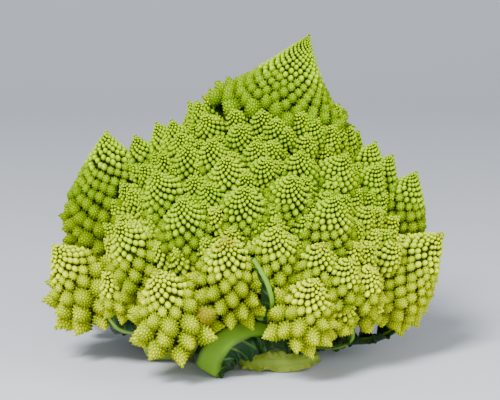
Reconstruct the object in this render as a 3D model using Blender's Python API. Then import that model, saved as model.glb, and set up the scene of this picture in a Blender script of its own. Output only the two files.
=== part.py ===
"""Romanesco head: one head of fused florets, its cut stalk and the trimmed leaves under it.

Every length below is in millimetres until it is turned into metres by MM.
X runs to the right as the head is seen from the front, Y runs away from the viewer, Z is up.
The stalk's flat cut stands on Z = 0, under the middle of the head.
"""

import math
import random

import bpy
import bmesh
import numpy as np

MM = 0.001
SEED = 5
GOLDEN_ANGLE = math.radians(137.508)

# The head.
APEX = (30.7, 0.0, 168.0)
VIEW_TILT = math.radians(8.0)        # the front list is read from this height above level
HEAD_PROFILE = (                     # height, middle in X, radius out to the floret tips
    (168.0, 30.7, 0.0),
    (155.5, 17.0, 16.0),
    (145.0, 11.0, 25.0),
    (134.5, 7.5, 33.0),
    (124.0, 3.0, 47.0),
    (113.5, 0.5, 60.0),
    (103.0, -1.0, 74.0),
    (82.0, 0.0, 87.0),
    (61.0, -0.5, 99.0),
    (40.0, -1.0, 94.0),
    (29.0, 0.0, 88.0),
)
CORE_DEPTH = ((168.0, 15.0), (145.0, 14.0), (124.0, 17.0), (103.0, 22.0), (61.0, 29.0))
CORE_UNDERSIDE = ((40.0, 56.0), (29.0, 40.0), (22.0, 27.0))
CORE_SIDES = 16
BUD_SHARE = 0.20                     # a floret's width over its distance from the apex
SHORTEST_EDGE = 0.06
FLATTEST_TRIANGLE = 0.012
LAST_DISTANCE = 146.0                # from the apex along the profile, to the lowest tips
FIRST_DISTANCE = 49.0
FLORET_TRIANGLES = 9800             # all the florets, once fused
HEAD_TRIANGLES = 11500               # the whole head, once the leaves' room is cut out
FLANK_ANGLE = 38.0                   # between a floret's axis and its flank
FLORET_TURNS = ((0.0, 38.0), (0.45, 36.0), (0.75, 15.0), (1.0, -10.0), (1.3, -45.0))
TIP_BEND = 0.12
FILLER_TRIES = 420
CROWN_FLANK = 57.0
CROWN_LEAN = math.radians(13.0)
CROWN_BEND = 0.14
CROWN_BUDS = 200
CROWN_TURNS = ((0.0, 31.5), (0.28, 35.0), (0.55, 41.0), (0.9, 46.0), (1.02, 0.0), (1.12, -60.0))
BUD_LIFT = 0.20                      # of a bud's width, over a floret's mean flank
VALLEY_LIFT = -0.18

# Florets that face the front: tip X, tip height as seen, length of flank, rise of the axis in
# degrees, turn of the axis to the right in degrees, and how far the tip stands off the profile.
FRONT_FLORETS = (
    (-74.4, 116.5, 60.0, 76.0, 0.0, 7.0),
    (-100.4, 58.2, 44.0, 43.0, 8.0, 7.0),
    (-66.6, 70.2, 40.0, 46.0, -12.0, 1.0),
    (-46.0, 47.0, 42.0, 52.0, -8.0, 2.0),
    (-33.8, 82.7, 33.0, 58.0, 6.0, 1.0),
    (-48.4, 95.7, 33.0, 52.0, -8.0, 0.0),
    (-40.6, 121.7, 27.0, 64.0, 5.0, 0.0),
    (-48.5, 120.0, 24.0, 58.0, -8.0, 2.0),
    (-59.5, 113.0, 25.0, 62.0, 0.0, 3.0),
    (-27.6, 132.1, 20.0, 60.0, 0.0, 0.0),
    (-22.9, 135.7, 13.0, 56.0, 0.0, 0.0),
    (-24.4, 124.8, 18.0, 48.0, -6.0, 0.0),
    (-8.8, 126.9, 13.0, 46.0, 0.0, 0.0),
    (-4.7, 119.1, 17.0, 42.0, 8.0, 0.0),
    (-19.8, 112.3, 25.0, 60.0, 4.0, 0.0),
    (-13.0, 103.0, 30.0, 50.0, -8.0, 0.0),
    (-2.6, 87.9, 32.0, 46.0, 4.0, 1.0),
    (-12.0, 63.0, 42.0, 50.0, 0.0, 1.0),
    (13.5, 68.6, 32.0, 56.0, 6.0, 0.0),
    (33.0, 42.5, 36.0, 44.0, 10.0, 0.0),
    (22.4, 93.1, 29.0, 44.0, 0.0, 1.0),
    (26.0, 106.1, 22.0, 58.0, -8.0, 0.0),
    (49.4, 104.5, 35.0, 48.0, -4.0, 1.0),
    (44.0, 83.5, 38.0, 54.0, 4.0, 1.0),
    (36.0, 60.0, 26.0, 48.0, 0.0, -2.0),
    (51.0, 52.0, 27.0, 42.0, 6.0, -2.0),
    (62.0, 47.0, 25.0, 36.0, -8.0, -3.0),
    (50.0, 33.0, 24.0, 30.0, 0.0, -6.0),
    (99.3, 64.0, 52.0, 36.0, 4.0, 6.0),
    (86.3, 95.7, 38.0, 56.0, 0.0, 0.0),
    (65.0, 111.3, 27.0, 62.0, 4.0, 0.0),
    (73.8, 104.5, 21.0, 54.0, 0.0, 0.0),
    (53.0, 119.1, 16.0, 60.0, 0.0, 0.0),
    (46.8, 121.7, 21.0, 58.0, 0.0, 0.0),
    (9.4, 101.9, 17.0, 40.0, 10.0, 0.0),
    (3.6, 110.8, 16.0, 50.0, 0.0, 0.0),
    (12.0, 110.8, 13.0, 44.0, 0.0, 0.0),
    (30.7, 113.9, 14.0, 46.0, 0.0, 0.0),
    (19.8, 117.5, 12.0, 42.0, 0.0, 0.0),
    (-73.8, 44.7, 23.0, 40.0, 0.0, -7.0),
    (66.6, 34.3, 23.0, 28.0, 0.0, -8.0),
)

LEAF_COLOUR = (0.09, 0.20, 0.04)

# The stalk.
STALK_RADIUS = 23.0
STALK_TOP = 21.4
STALK_SIDES = 24

# The leaves. Each has a spine of points from its foot outward, the direction its outer face
# looks at the foot and at the end, the blade's width on either side of the rib at foot, middle
# and end, the rib's half width and half height at foot and end, how far the edges bend back
# behind the rib, and the height and number of the waves along its edges.
BLADE_THICKNESS = 1.3
BLADE_STATIONS = 12
LEAF_ROOM = 0.8                      # kept clear in the head round every leaf
FLOOR_CLEARANCE = 0.3
LEAVES = {
    "leaf_front": dict(
        spine=((-21.5, -58.0, 3.5), (-18.5, -61.0, 12.0), (-12.0, -63.0, 20.0), (-4.0, -63.0, 24.3),
               (5.0, -60.0, 25.0), (14.0, -55.0, 22.5), (25.0, -48.0, 18.0)),
        faces=((-0.25, -0.85, 0.45), (0.1, -0.8, 0.6)),
        widths=((14.0, 9.0), (10.0, 13.0), (5.6, 14.0), (4.5, 13.0), (4.0, 11.0), (3.5, 8.0)),
        rib=((6.6, 3.0), (2.0, 1.4)), bend=4.0, waves=(2.4, 6)),
    "leaf_left_trimmed": dict(
        spine=((-20.0, -30.0, 7.0), (-30.0, -27.0, 6.5), (-42.0, -25.0, 6.0), (-53.0, -23.0, 5.5)),
        faces=((0.0, -0.5, -0.85), (0.0, -0.5, -0.85)),
        widths=((9.0, 9.0), (11.0, 11.0), (11.0, 11.0)), rib=((8.0, 3.2), (8.0, 3.2)),
        bend=3.0, waves=(0.5, 2)),
    "leaf_right_low": dict(
        spine=((-8.0, -37.0, 6.5), (0.0, -44.0, 6.0), (12.0, -47.0, 5.6), (24.0, -45.5, 5.4),
               (35.0, -41.0, 7.0)),
        faces=((0.0, -0.95, 0.1), (0.2, -0.9, 0.1)),
        widths=((5.0, 5.0), (6.0, 5.0), (5.5, 5.0), (2.0, 2.0)), rib=((1.8, 0.9), (0.9, 0.7)),
        bend=2.0, waves=(1.6, 5)),
    "leaf_right": dict(
        spine=((24.0, -17.0, 9.0), (36.0, -21.0, 8.5), (46.0, -25.0, 9.5), (52.0, -28.0, 14.0),
               (52.0, -29.0, 20.5)),
        faces=((0.2, -0.4, -0.9), (0.9, -0.5, 0.1)),
        widths=((6.0, 6.0), (7.0, 7.0), (4.0, 5.0)), rib=((3.0, 1.7), (1.3, 0.9)),
        bend=2.5, waves=(1.4, 4)),
    "leaf_small": dict(
        spine=((5.0, -62.0, 32.0), (8.5, -76.0, 35.0), (10.5, -86.0, 43.0), (8.0, -91.0, 54.0),
               (1.5, -93.5, 66.0)),
        faces=((0.5, -0.7, 0.4), (0.4, -0.9, 0.1)),
        widths=((5.0, 3.0), (5.5, 2.2), (1.0, 1.0)), rib=((1.9, 1.2), (0.8, 0.7)),
        bend=-1.5, waves=(0.7, 3)),
    "leaf_left": dict(
        spine=((-25.0, -15.0, 17.0), (-40.0, -26.0, 18.0), (-56.0, -37.0, 19.0), (-66.0, -43.0, 22.0),
               (-71.0, -46.0, 28.0)),
        faces=((-0.2, -0.4, -0.9), (-0.7, -0.7, 0.0)),
        widths=((7.0, 7.0), (10.0, 10.0), (6.0, 6.0)), rib=((2.8, 1.5), (1.2, 0.9)),
        bend=3.0, waves=(1.8, 4)),
    "leaf_right_far": dict(
        spine=((30.0, -1.0, 8.0), (45.0, -3.0, 7.5), (62.0, -9.0, 9.0), (74.0, -16.0, 15.0),
               (79.0, -19.0, 22.0)),
        faces=((0.2, 0.0, -1.0), (0.9, -0.3, -0.2)),
        widths=((8.0, 8.0), (12.0, 12.0), (5.0, 6.0)), rib=((2.8, 1.5), (1.2, 0.9)),
        bend=3.0, waves=(1.8, 5)),
    "leaf_left_tall": dict(
        spine=((-26.0, 17.0, 8.0), (-50.0, 33.0, 7.5), (-76.0, 48.0, 18.0), (-89.0, 56.0, 42.0),
               (-86.0, 57.0, 71.0)),
        faces=((-0.2, 0.1, -1.0), (-0.8, 0.6, 0.1)),
        widths=((9.0, 9.0), (17.0, 17.0), (5.0, 5.0)), rib=((6.0, 3.0), (1.6, 1.2)),
        bend=-4.0, waves=(2.0, 6)),
    "leaf_back_left": dict(
        spine=((-10.0, 29.0, 8.0), (-18.0, 48.0, 7.0), (-28.0, 72.0, 8.0), (-36.0, 92.0, 20.0),
               (-38.0, 99.0, 36.0)),
        faces=((0.0, 0.1, -1.0), (-0.4, 0.9, -0.1)),
        widths=((9.0, 9.0), (16.0, 16.0), (7.0, 8.0)), rib=((6.0, 3.0), (2.0, 1.4)),
        bend=-3.0, waves=(2.2, 6)),
    "leaf_back_right": dict(
        spine=((16.0, 26.0, 8.0), (30.0, 44.0, 7.0), (46.0, 66.0, 8.0), (58.0, 82.0, 18.0),
               (62.0, 86.0, 32.0)),
        faces=((0.0, 0.1, -1.0), (0.6, 0.8, -0.1)),
        widths=((9.0, 9.0), (15.0, 15.0), (7.0, 6.0)), rib=((6.0, 3.0), (2.0, 1.4)),
        bend=-3.0, waves=(2.2, 6)),
}


def empty_scene():
    """Remove the start-up objects."""
    for thing in list(bpy.data.objects):
        bpy.data.objects.remove(thing, do_unlink=True)


def plain_material(name, colour, roughness):
    """One Principled material with a flat colour."""
    material = bpy.data.materials.new(name)
    material.use_nodes = True
    shader = material.node_tree.nodes["Principled BSDF"]
    shader.inputs["Base Color"].default_value = (*colour, 1.0)
    shader.inputs["Roughness"].default_value = roughness
    shader.inputs["Metallic"].default_value = 0.0
    return material


def mesh_object(name, points, faces, material=None):
    """A named object from points in millimetres."""
    mesh = bpy.data.meshes.new(name)
    mesh.from_pydata([tuple(float(v) * MM for v in point) for point in points], [], faces)
    mesh.validate()
    thing = bpy.data.objects.new(name, mesh)
    bpy.context.scene.collection.objects.link(thing)
    if material:
        mesh.materials.append(material)
    face_outward(thing)
    return thing


def face_outward(thing):
    """Turn every face of a closed mesh to the outside."""
    form = bmesh.new()
    form.from_mesh(thing.data)
    bmesh.ops.recalc_face_normals(form, faces=form.faces)
    if form.calc_volume(signed=True) < 0:
        bmesh.ops.reverse_faces(form, faces=form.faces)
    form.to_mesh(thing.data)
    form.free()


def apply_modifiers(thing):
    """Bake the modifiers into the mesh."""
    graph = bpy.context.evaluated_depsgraph_get()
    mesh = bpy.data.meshes.new_from_object(thing.evaluated_get(graph))
    thing.modifiers.clear()
    thing.data = mesh


def union(base, pieces):
    """Fuse a list of closed pieces into the base."""
    group = bpy.data.collections.new("pieces to fuse")
    for piece in pieces:
        group.objects.link(piece)
    step = base.modifiers.new("fuse", "BOOLEAN")
    step.operation = "UNION"
    step.operand_type = "COLLECTION"
    step.collection = group
    step.solver = "MANIFOLD"
    apply_modifiers(base)
    for piece in pieces:
        bpy.data.objects.remove(piece, do_unlink=True)
    bpy.data.collections.remove(group)


def cut_away(base, tool):
    """Take the tool's space out of the base."""
    step = base.modifiers.new("cut", "BOOLEAN")
    step.operation = "DIFFERENCE"
    step.object = tool
    step.solver = "MANIFOLD"
    apply_modifiers(base)
    bpy.data.objects.remove(tool, do_unlink=True)


def simplify(thing, triangles):
    """Collapse the shortest edges until this many triangles are left."""
    form = bmesh.new()
    form.from_mesh(thing.data)
    bmesh.ops.triangulate(form, faces=form.faces)
    form.to_mesh(thing.data)
    form.free()
    step = thing.modifiers.new("simplify", "DECIMATE")
    step.ratio = min(1.0, triangles / len(thing.data.polygons))
    step.use_collapse_triangulate = True
    apply_modifiers(thing)


def open_slivers(thing):
    """Widen the thinnest triangles and the shortest edges that fusing and cutting leave."""
    form = bmesh.new()
    form.from_mesh(thing.data)
    for _ in range(4):
        for edge in form.edges:
            length = edge.calc_length()
            if length < SHORTEST_EDGE * MM:
                first, second = edge.verts
                push = (first.co - second.co) * (0.6 * (SHORTEST_EDGE * MM / max(length, 1e-9) - 1.0))
                first.co += push
                second.co -= push
        for face in form.faces:
            longest = max(face.edges, key=lambda edge: edge.calc_length())
            start, end = longest.verts
            corner = next(vert for vert in face.verts if vert not in longest.verts)
            along_edge = (end.co - start.co).normalized()
            height = corner.co - start.co
            height -= along_edge * height.dot(along_edge)
            if height.length < FLATTEST_TRIANGLE * MM:
                corner.co += height.normalized() * (1.2 * FLATTEST_TRIANGLE * MM - height.length)
    form.to_mesh(thing.data)
    form.free()


def tidy_solid(thing):
    """Drop loose scrap and what fusing sealed, and triangulate."""
    form = bmesh.new()
    form.from_mesh(thing.data)
    bmesh.ops.triangulate(form, faces=form.faces)
    keep_largest_shell(form)
    bmesh.ops.recalc_face_normals(form, faces=form.faces)
    form.to_mesh(thing.data)
    form.free()


def keep_largest_shell(form):
    """Delete every connected shell of faces but the largest one."""
    unseen = set(form.faces)
    shells = []
    while unseen:
        shell = set()
        front = [unseen.pop()]
        while front:
            face = front.pop()
            shell.add(face)
            for edge in face.edges:
                for other in edge.link_faces:
                    if other in unseen:
                        unseen.remove(other)
                        front.append(other)
        shells.append(shell)
    shells.sort(key=len)
    for shell in shells[:-1]:
        bmesh.ops.delete(form, geom=list(shell), context="FACES")
    loose = [vert for vert in form.verts if not vert.link_faces]
    bmesh.ops.delete(form, geom=loose, context="VERTS")


def profile_at(height):
    """The head's middle in X and its radius at a height."""
    heights = [row[0] for row in HEAD_PROFILE][::-1]
    middle = np.interp(height, heights, [row[1] for row in HEAD_PROFILE][::-1])
    radius = np.interp(height, heights, [row[2] for row in HEAD_PROFILE][::-1])
    return float(middle), float(radius)


def height_at(distance):
    """The height on the profile at a distance from the apex."""
    heights = np.linspace(APEX[2], HEAD_PROFILE[-1][0], 300)
    radii = np.array([profile_at(height)[1] for height in heights])
    steps = np.hypot(np.diff(heights), np.diff(radii))
    travelled = np.concatenate(([0.0], np.cumsum(steps)))
    return float(np.interp(distance, travelled, heights))


def unit(vector):
    """A vector of length one."""
    vector = np.asarray(vector, dtype=float)
    return vector / np.linalg.norm(vector)


def front_tip(x, seen_height, stand_off):
    """The place of a tip on the front of the head, from where the viewer sees it."""
    depth = 0.0
    for _ in range(12):
        height = (seen_height + depth * math.sin(VIEW_TILT)) / math.cos(VIEW_TILT)
        middle, radius = profile_at(height)
        radius += stand_off
        reach = radius * radius - (x - middle) ** 2
        depth = math.sqrt(max(reach, 9.0))
    return np.array((x, -depth, height))


def floret_axis(tip, rise, turn):
    """The direction a floret points in: outward from the head's middle and up."""
    middle = profile_at(tip[2])[0]
    heading = math.atan2(tip[1], tip[0] - middle) + math.radians(turn)
    rise = math.radians(rise)
    flat = math.cos(rise)
    return np.array((flat * math.cos(heading), flat * math.sin(heading), math.sin(rise)))


def rise_at(distance):
    """How steeply a floret rises, by its distance from the apex."""
    return float(np.interp(distance, (45.0, 80.0, 110.0, 146.0), (46.0, 58.0, 54.0, 40.0)))


def room_between(flank, other_flank):
    """How far apart two florets' tips are at least; the largest keep the rest off their sides."""
    usual = float(np.interp(flank, (22.0, 34.0), (0.285, 0.40))) * (flank + min(other_flank, 42.0))
    return max(usual, 0.74 * other_flank) if other_flank > 40.0 else usual


def all_florets():
    """Tip, axis and flank length of every large floret: the front list, then the golden spiral.

    Florets are dropped from the lowest ring to the crown, one golden angle after another, and a
    place that is taken already is skipped.
    """
    florets = []
    for x, seen_height, flank, rise, turn, stand_off in FRONT_FLORETS:
        tip = front_tip(x, seen_height, stand_off)
        florets.append((tip, floret_axis(tip, rise, turn), flank))
    chance = random.Random(SEED)
    growth = math.exp(-0.0087)
    distance = LAST_DISTANCE
    heading = 0.0
    while distance > FIRST_DISTANCE:
        height = height_at(distance * chance.uniform(0.985, 1.015))
        middle, radius = profile_at(height)
        heading += GOLDEN_ANGLE
        radius *= chance.uniform(0.97, 1.0)
        radius += float(np.interp(distance, (49.0, 60.0, 90.0), (5.0, 3.0, 0.0)))
        tip = np.array((middle + radius * math.cos(heading), radius * math.sin(heading), height))
        width = BUD_SHARE * distance
        rise = rise_at(distance) + chance.uniform(-9.0, 9.0)
        flank = chance.uniform(1.25, 1.6) * width
        room = min(np.linalg.norm(tip - other[0]) / room_between(flank, other[2])
                   for other in florets)
        under_front = tip[1] < -30.0 and tip[2] < 58.0
        if room > 1.0 and not under_front:
            florets.append((tip, floret_axis(tip, rise, chance.uniform(-14.0, 14.0)), flank))
        distance *= growth
    return florets


def inside_floret(point, floret):
    """Whether a point is inside a floret's cone."""
    tip, axis, flank = floret
    depth = np.dot(tip - point, axis)
    across, _ = frame_of(axis, np.array((0.0, 0.0, 1.0)))
    out, down, _ = flank_curve(np.linspace(0.0, 1.3, 66))
    reach = float(flank_curve(1.0)[1]) * flank
    shift = TIP_BEND * reach * (max(0.0, 1.0 - depth / reach) ** 2 - 1.0)
    centre = tip - depth * axis + shift * across
    limit = float(np.interp(depth / flank, down, out, left=-1.0, right=-1.0))
    return np.linalg.norm(point - centre) / flank < limit - 0.01


def fillers(placed):
    """Small florets that fill the room between the large ones, deeper in the head."""
    chance = random.Random(SEED + 1)
    found = []
    for number in range(FILLER_TRIES):
        distance = 62.0 + 82.0 * math.sqrt((number + 0.5) / FILLER_TRIES)
        height = height_at(distance)
        middle, radius = profile_at(height)
        heading = number * GOLDEN_ANGLE + 1.0
        radius -= chance.uniform(9.0, 13.0)
        flank = chance.uniform(15.0, 21.0)
        tip = np.array((middle + radius * math.cos(heading), radius * math.sin(heading), height))
        axis = floret_axis(tip, rise_at(distance) - 12.0, chance.uniform(-10.0, 10.0))
        if any(inside_floret(tip, floret) for floret in placed):
            continue
        if min(np.linalg.norm(tip - other[0]) for other in placed + found) < 11.0:
            continue
        if tip[1] < -30.0 and tip[2] < 50.0:
            continue
        found.append((tip, axis, flank))
    return found


def flank_curve(steps, turns=FLORET_TURNS):
    """Distance from the axis, depth under the tip and flank angle along a flank of length one."""
    travelled = np.linspace(0.0, 1.3, 131)
    angle = np.radians(np.interp(travelled, [row[0] for row in turns], [row[1] for row in turns]))
    out = np.concatenate(([0.0], np.cumsum(np.sin(angle[:-1]) * 0.01)))
    down = np.concatenate(([0.0], np.cumsum(np.cos(angle[:-1]) * 0.01)))
    return (np.interp(steps, travelled, out), np.interp(steps, travelled, down),
            np.interp(steps, travelled, angle))


def frame_of(axis, lean):
    """Two directions across an axis, the first one towards the lean."""
    across = lean - axis * np.dot(lean, axis)
    if np.linalg.norm(across) < 1e-6:
        across = np.array((1.0, 0.0, 0.0)) - axis * axis[0]
    across = unit(across)
    return across, np.cross(axis, across)


def studded_cone(tip, axis, flank, buds, pair, lean, bend, root, turn=0.0, turns=FLORET_TURNS):
    """A closed cone whose flank is a spiral of pointed buds; its back narrows to the root.

    pair holds the two spiral numbers of the buds; six valleys stand round every bud.
    """
    first, second = pair
    across, beside = frame_of(axis, lean)
    share = {(3, 5): 0.44, (5, 8): 0.30, (8, 13): 0.22}[pair]
    growth = share * share * 0.866 / (2.0 * math.pi * math.sin(math.radians(FLANK_ANGLE)))
    reach = float(flank_curve(1.0, turns)[1]) * flank

    def place(site, spiral_turn, lift):
        """A point of the flank at a step of the spiral, lifted off the surface."""
        along = math.exp(-growth * site)
        out, down, angle = (float(value) for value in flank_curve(along, turns))
        lift *= share * along
        out += lift * math.cos(angle)
        down -= lift * math.sin(angle)
        heading = spiral_turn + turn
        depth = down * flank
        shift = bend * reach * (max(0.0, 1.0 - depth / reach) ** 2 - 1.0)
        ring = across * math.cos(heading) + beside * math.sin(heading)
        return tip - axis * depth + ring * (out * flank) + across * shift

    def wrapped(site):
        """The spiral's turn after a number of steps, between minus and plus half a turn."""
        turned = (site * GOLDEN_ANGLE) % (2.0 * math.pi)
        return turned - 2.0 * math.pi if turned > math.pi else turned

    points = []
    valleys = {}

    def valley(site, kind):
        """The index of the valley between a bud and its two inner neighbours."""
        if (site, kind) not in valleys:
            middle_step = first if kind == 0 else second
            turned = site * GOLDEN_ANGLE + (wrapped(middle_step) + wrapped(first) + wrapped(second)) / 3.0
            steps = site + (middle_step + first + second) / 3.0
            valleys[(site, kind)] = len(points)
            points.append(place(steps, turned, VALLEY_LIFT))
        return valleys[(site, kind)]

    faces = []
    for bud in range(buds):
        ring = (valley(bud, 0), valley(bud, 1), valley(bud - first, 0),
                valley(bud - first - second, 1), valley(bud - first - second, 0), valley(bud - second, 1))
        top = len(points)
        points.append(place(bud, bud * GOLDEN_ANGLE, BUD_LIFT))
        for here, after in zip(ring, ring[1:] + ring[:1]):
            faces.append((top, here, after))

    edges = {}
    for face in faces:
        for here, after in zip(face, face[1:] + face[:1]):
            edges[(here, after)] = True
    rim = [edge for edge in edges if (edge[1], edge[0]) not in edges]
    middle_depth = np.mean([np.dot(tip - points[edge[0]], axis) for edge in rim])
    point = len(points)
    points.append(tip)
    foot = len(points)
    points.append(root)
    for here, after in rim:
        depth = np.dot(tip - points[here], axis)
        faces.append((after, here, point if depth < middle_depth else foot))
    return points, faces


def hub_of(tip):
    """The point inside the head that a floret's branch comes from."""
    middle, radius = profile_at(tip[2])
    height = max(46.0, tip[2] - 0.8 * radius)
    return np.array((profile_at(height)[0], 0.0, height))


def floret_piece(number, tip, axis, flank):
    """One floret with its branch, as a closed piece."""
    lean = np.array((0.0, 0.0, 1.0))
    depth = float(flank_curve(1.0)[1]) * flank
    back = tip - axis * depth * 1.1
    root = back + (hub_of(tip) - back) * 0.45
    if flank > 45.0:
        pair, buds = (5, 8), 56
    elif flank > 25.0:
        pair, buds = (3, 5), 27
    else:
        pair, buds = (3, 5), 17
    points, faces = studded_cone(tip, axis, flank, buds, pair, lean, TIP_BEND, root,
                                 turn=number * 1.7)
    return mesh_object("floret", points, faces)


def crown_piece():
    """The top of the head, where the buds are too small to be florets yet."""
    tip = np.array(APEX)
    axis = unit((math.sin(CROWN_LEAN), 0.0, math.cos(CROWN_LEAN)))
    root = np.array((0.0, 0.0, 108.0))
    points, faces = studded_cone(tip, axis, CROWN_FLANK, CROWN_BUDS, (8, 13), np.array((1.0, 0.0, 0.0)),
                                 CROWN_BEND, root, turns=CROWN_TURNS)
    return mesh_object("crown", points, faces)


def core_object(material):
    """The lean solid body inside the florets."""
    rings = []
    depths = [row[0] for row in CORE_DEPTH][::-1]
    for height, middle, radius in HEAD_PROFILE[2:9]:
        inner = radius - np.interp(height, depths, [row[1] for row in CORE_DEPTH][::-1])
        rings.append((height - 3.0, middle, inner))
    for height, radius in CORE_UNDERSIDE:
        rings.append((height, 0.0, radius))
    points = []
    for height, middle, radius in rings:
        for side in range(CORE_SIDES):
            heading = 2.0 * math.pi * side / CORE_SIDES
            points.append((middle + radius * math.cos(heading), radius * math.sin(heading), height))
    faces = [tuple(range(CORE_SIDES))]
    for ring in range(len(rings) - 1):
        for side in range(CORE_SIDES):
            after = (side + 1) % CORE_SIDES
            upper = ring * CORE_SIDES
            lower = upper + CORE_SIDES
            faces.append((upper + side, lower + side, lower + after, upper + after))
    faces.append(tuple(range(len(points) - CORE_SIDES, len(points)))[::-1])
    return mesh_object("head", points, faces, material)


def make_head():
    """The head: core, crown and every floret fused into one solid."""
    head = core_object(plain_material("curd", (0.42, 0.55, 0.05), 0.55))
    pieces = []
    florets = all_florets()
    deeper = fillers(florets)
    print("florets", len(florets), "and deeper ones", len(deeper))
    for number, (tip, axis, flank) in enumerate(florets + deeper):
        pieces.append(floret_piece(number, tip, axis, flank))
    union(head, pieces)
    tidy_solid(head)
    simplify(head, FLORET_TRIANGLES)
    union(head, [crown_piece()])
    return head


def along(values, share):
    """A value between the first and the last of a list, at a share of the way."""
    places = np.linspace(0.0, 1.0, len(values))
    rows = np.array(values, dtype=float)
    if rows.ndim == 1:
        return float(np.interp(share, places, rows))
    return np.array([np.interp(share, places, rows[:, column]) for column in range(rows.shape[1])])


def smooth_spine(points, count):
    """Points evenly along a smooth curve through the spine's own points."""
    points = np.array(points)
    ends = np.vstack((2 * points[0] - points[1], points, 2 * points[-1] - points[-2]))
    fine = []
    for start in range(len(points) - 1):
        before, here, after, beyond = ends[start:start + 4]
        for t in np.linspace(0.0, 1.0, 12, endpoint=False):
            fine.append(0.5 * (2 * here + (after - before) * t
                               + (2 * before - 5 * here + 4 * after - beyond) * t * t
                               + (3 * here - before - 3 * after + beyond) * t ** 3))
    fine.append(points[-1])
    fine = np.array(fine)
    travelled = np.concatenate(([0.0], np.cumsum(np.linalg.norm(np.diff(fine, axis=0), axis=1))))
    wanted = np.linspace(0.0, travelled[-1], count)
    return np.stack([np.interp(wanted, travelled, fine[:, axis]) for axis in range(3)], axis=1)


def leaf_stations(leaf, count):
    """Place, sideways direction and outer direction at stations along a leaf."""
    spine = smooth_spine(leaf["spine"], count)
    stations = []
    for index, place in enumerate(spine):
        forward = unit(spine[min(index + 1, count - 1)] - spine[max(index - 1, 0)])
        outer = along(leaf["faces"], index / (count - 1))
        outer = unit(outer - forward * np.dot(outer, forward))
        stations.append((place, np.cross(forward, outer), outer))
    return stations


def leaf_sheet(name, leaf, grow):
    """The middle surface of a leaf and its half thickness to the outer and the inner side.

    Eight columns run along the leaf: edge, half way and two rib columns on either side. The rib
    is thick and stands out on the outer side. The edges are waved and torn.
    """
    chance = random.Random(name)
    height, count = leaf["waves"]
    sheet, outward, inward = [], [], []
    for index, (place, sideways, outer) in enumerate(leaf_stations(leaf, BLADE_STATIONS)):
        share = index / (BLADE_STATIONS - 1)
        near, far = along(leaf["widths"], share)
        half_width, half_height = along(leaf["rib"], share)
        tear = (chance.uniform(0.82, 1.05), chance.uniform(0.82, 1.05))
        row = []
        for side, width in ((-1.0, max(near * tear[1], half_width * 1.15)),
                            (1.0, max(far * tear[0], half_width * 1.15))):
            half_way = (half_width + width) / 2.0
            for offset in (width, half_way, half_width, half_width * 0.6):
                edge = max(0.0, (offset - half_width) / (width - half_width + 0.1))
                phase = 2.0 * math.pi * count * share + (1.3 if side > 0 else 0.0)
                lift = height * edge ** 1.5 * math.sin(phase) - leaf["bend"] * edge ** 2 * width / 12.0
                offset += grow if offset == width else 0.0
                row.append(place + sideways * side * offset + outer * lift)
        row = row[:4] + row[:3:-1]
        for point in row:
            point[2] = max(point[2], FLOOR_CLEARANCE + BLADE_THICKNESS)
        sheet.append(row)
        thin = BLADE_THICKNESS / 2.0 + grow
        outward.append([thin, thin, thin + half_height * 0.5, thin + half_height * 1.3])
        inward.append([thin, thin, thin, thin + half_height * 0.4])
    sheet = np.array(sheet)
    sheet[0] += unit_rows(sheet[0] - sheet[1]) * grow
    sheet[-1] += unit_rows(sheet[-1] - sheet[-2]) * grow
    outward = np.array(outward)
    inward = np.array(inward)
    return sheet, np.hstack((outward, outward[:, ::-1])), np.hstack((inward, inward[:, ::-1]))


def unit_rows(vectors):
    """Each row scaled to length one."""
    return vectors / np.linalg.norm(vectors, axis=1, keepdims=True)


def sheet_faces(rows, columns):
    """Triangles of a closed sheet: both faces split alike, and the rim between them."""
    back = rows * columns
    faces = []
    for row in range(rows - 1):
        for column in range(columns - 1):
            a = row * columns + column
            b, c, d = a + 1, a + columns + 1, a + columns
            faces += [(a, b, c), (a, c, d), (back + c, back + b, back + a), (back + d, back + c, back + a)]
    rim = [column for column in range(columns)]
    rim += [row * columns + columns - 1 for row in range(1, rows)]
    rim += [(rows - 1) * columns + column for column in range(columns - 2, -1, -1)]
    rim += [row * columns for row in range(rows - 2, 0, -1)]
    for here, after in zip(rim, rim[1:] + rim[:1]):
        faces += [(after, here, back + here), (after, back + here, back + after)]
    return faces


def make_leaf(name, grow=0.0):
    """One leaf, with its thick rib. A grown one is the room it needs."""
    sheet, outward, inward = leaf_sheet(name, LEAVES[name], grow)
    lengthwise = np.gradient(sheet, axis=0)
    crosswise = np.gradient(sheet, axis=1)
    normal = np.cross(lengthwise, crosswise)
    normal /= np.linalg.norm(normal, axis=2, keepdims=True)
    front = sheet + normal * outward[:, :, None]
    back = sheet - normal * inward[:, :, None]
    points = np.vstack((front.reshape(-1, 3), back.reshape(-1, 3)))
    points[:, 2] = np.maximum(points[:, 2], FLOOR_CLEARANCE - grow)
    full_name = name if grow == 0.0 else name + "_room"
    return mesh_object(full_name, points, sheet_faces(*sheet.shape[:2]),
                       None if grow else plain_material(name, LEAF_COLOUR, 0.5))


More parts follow.
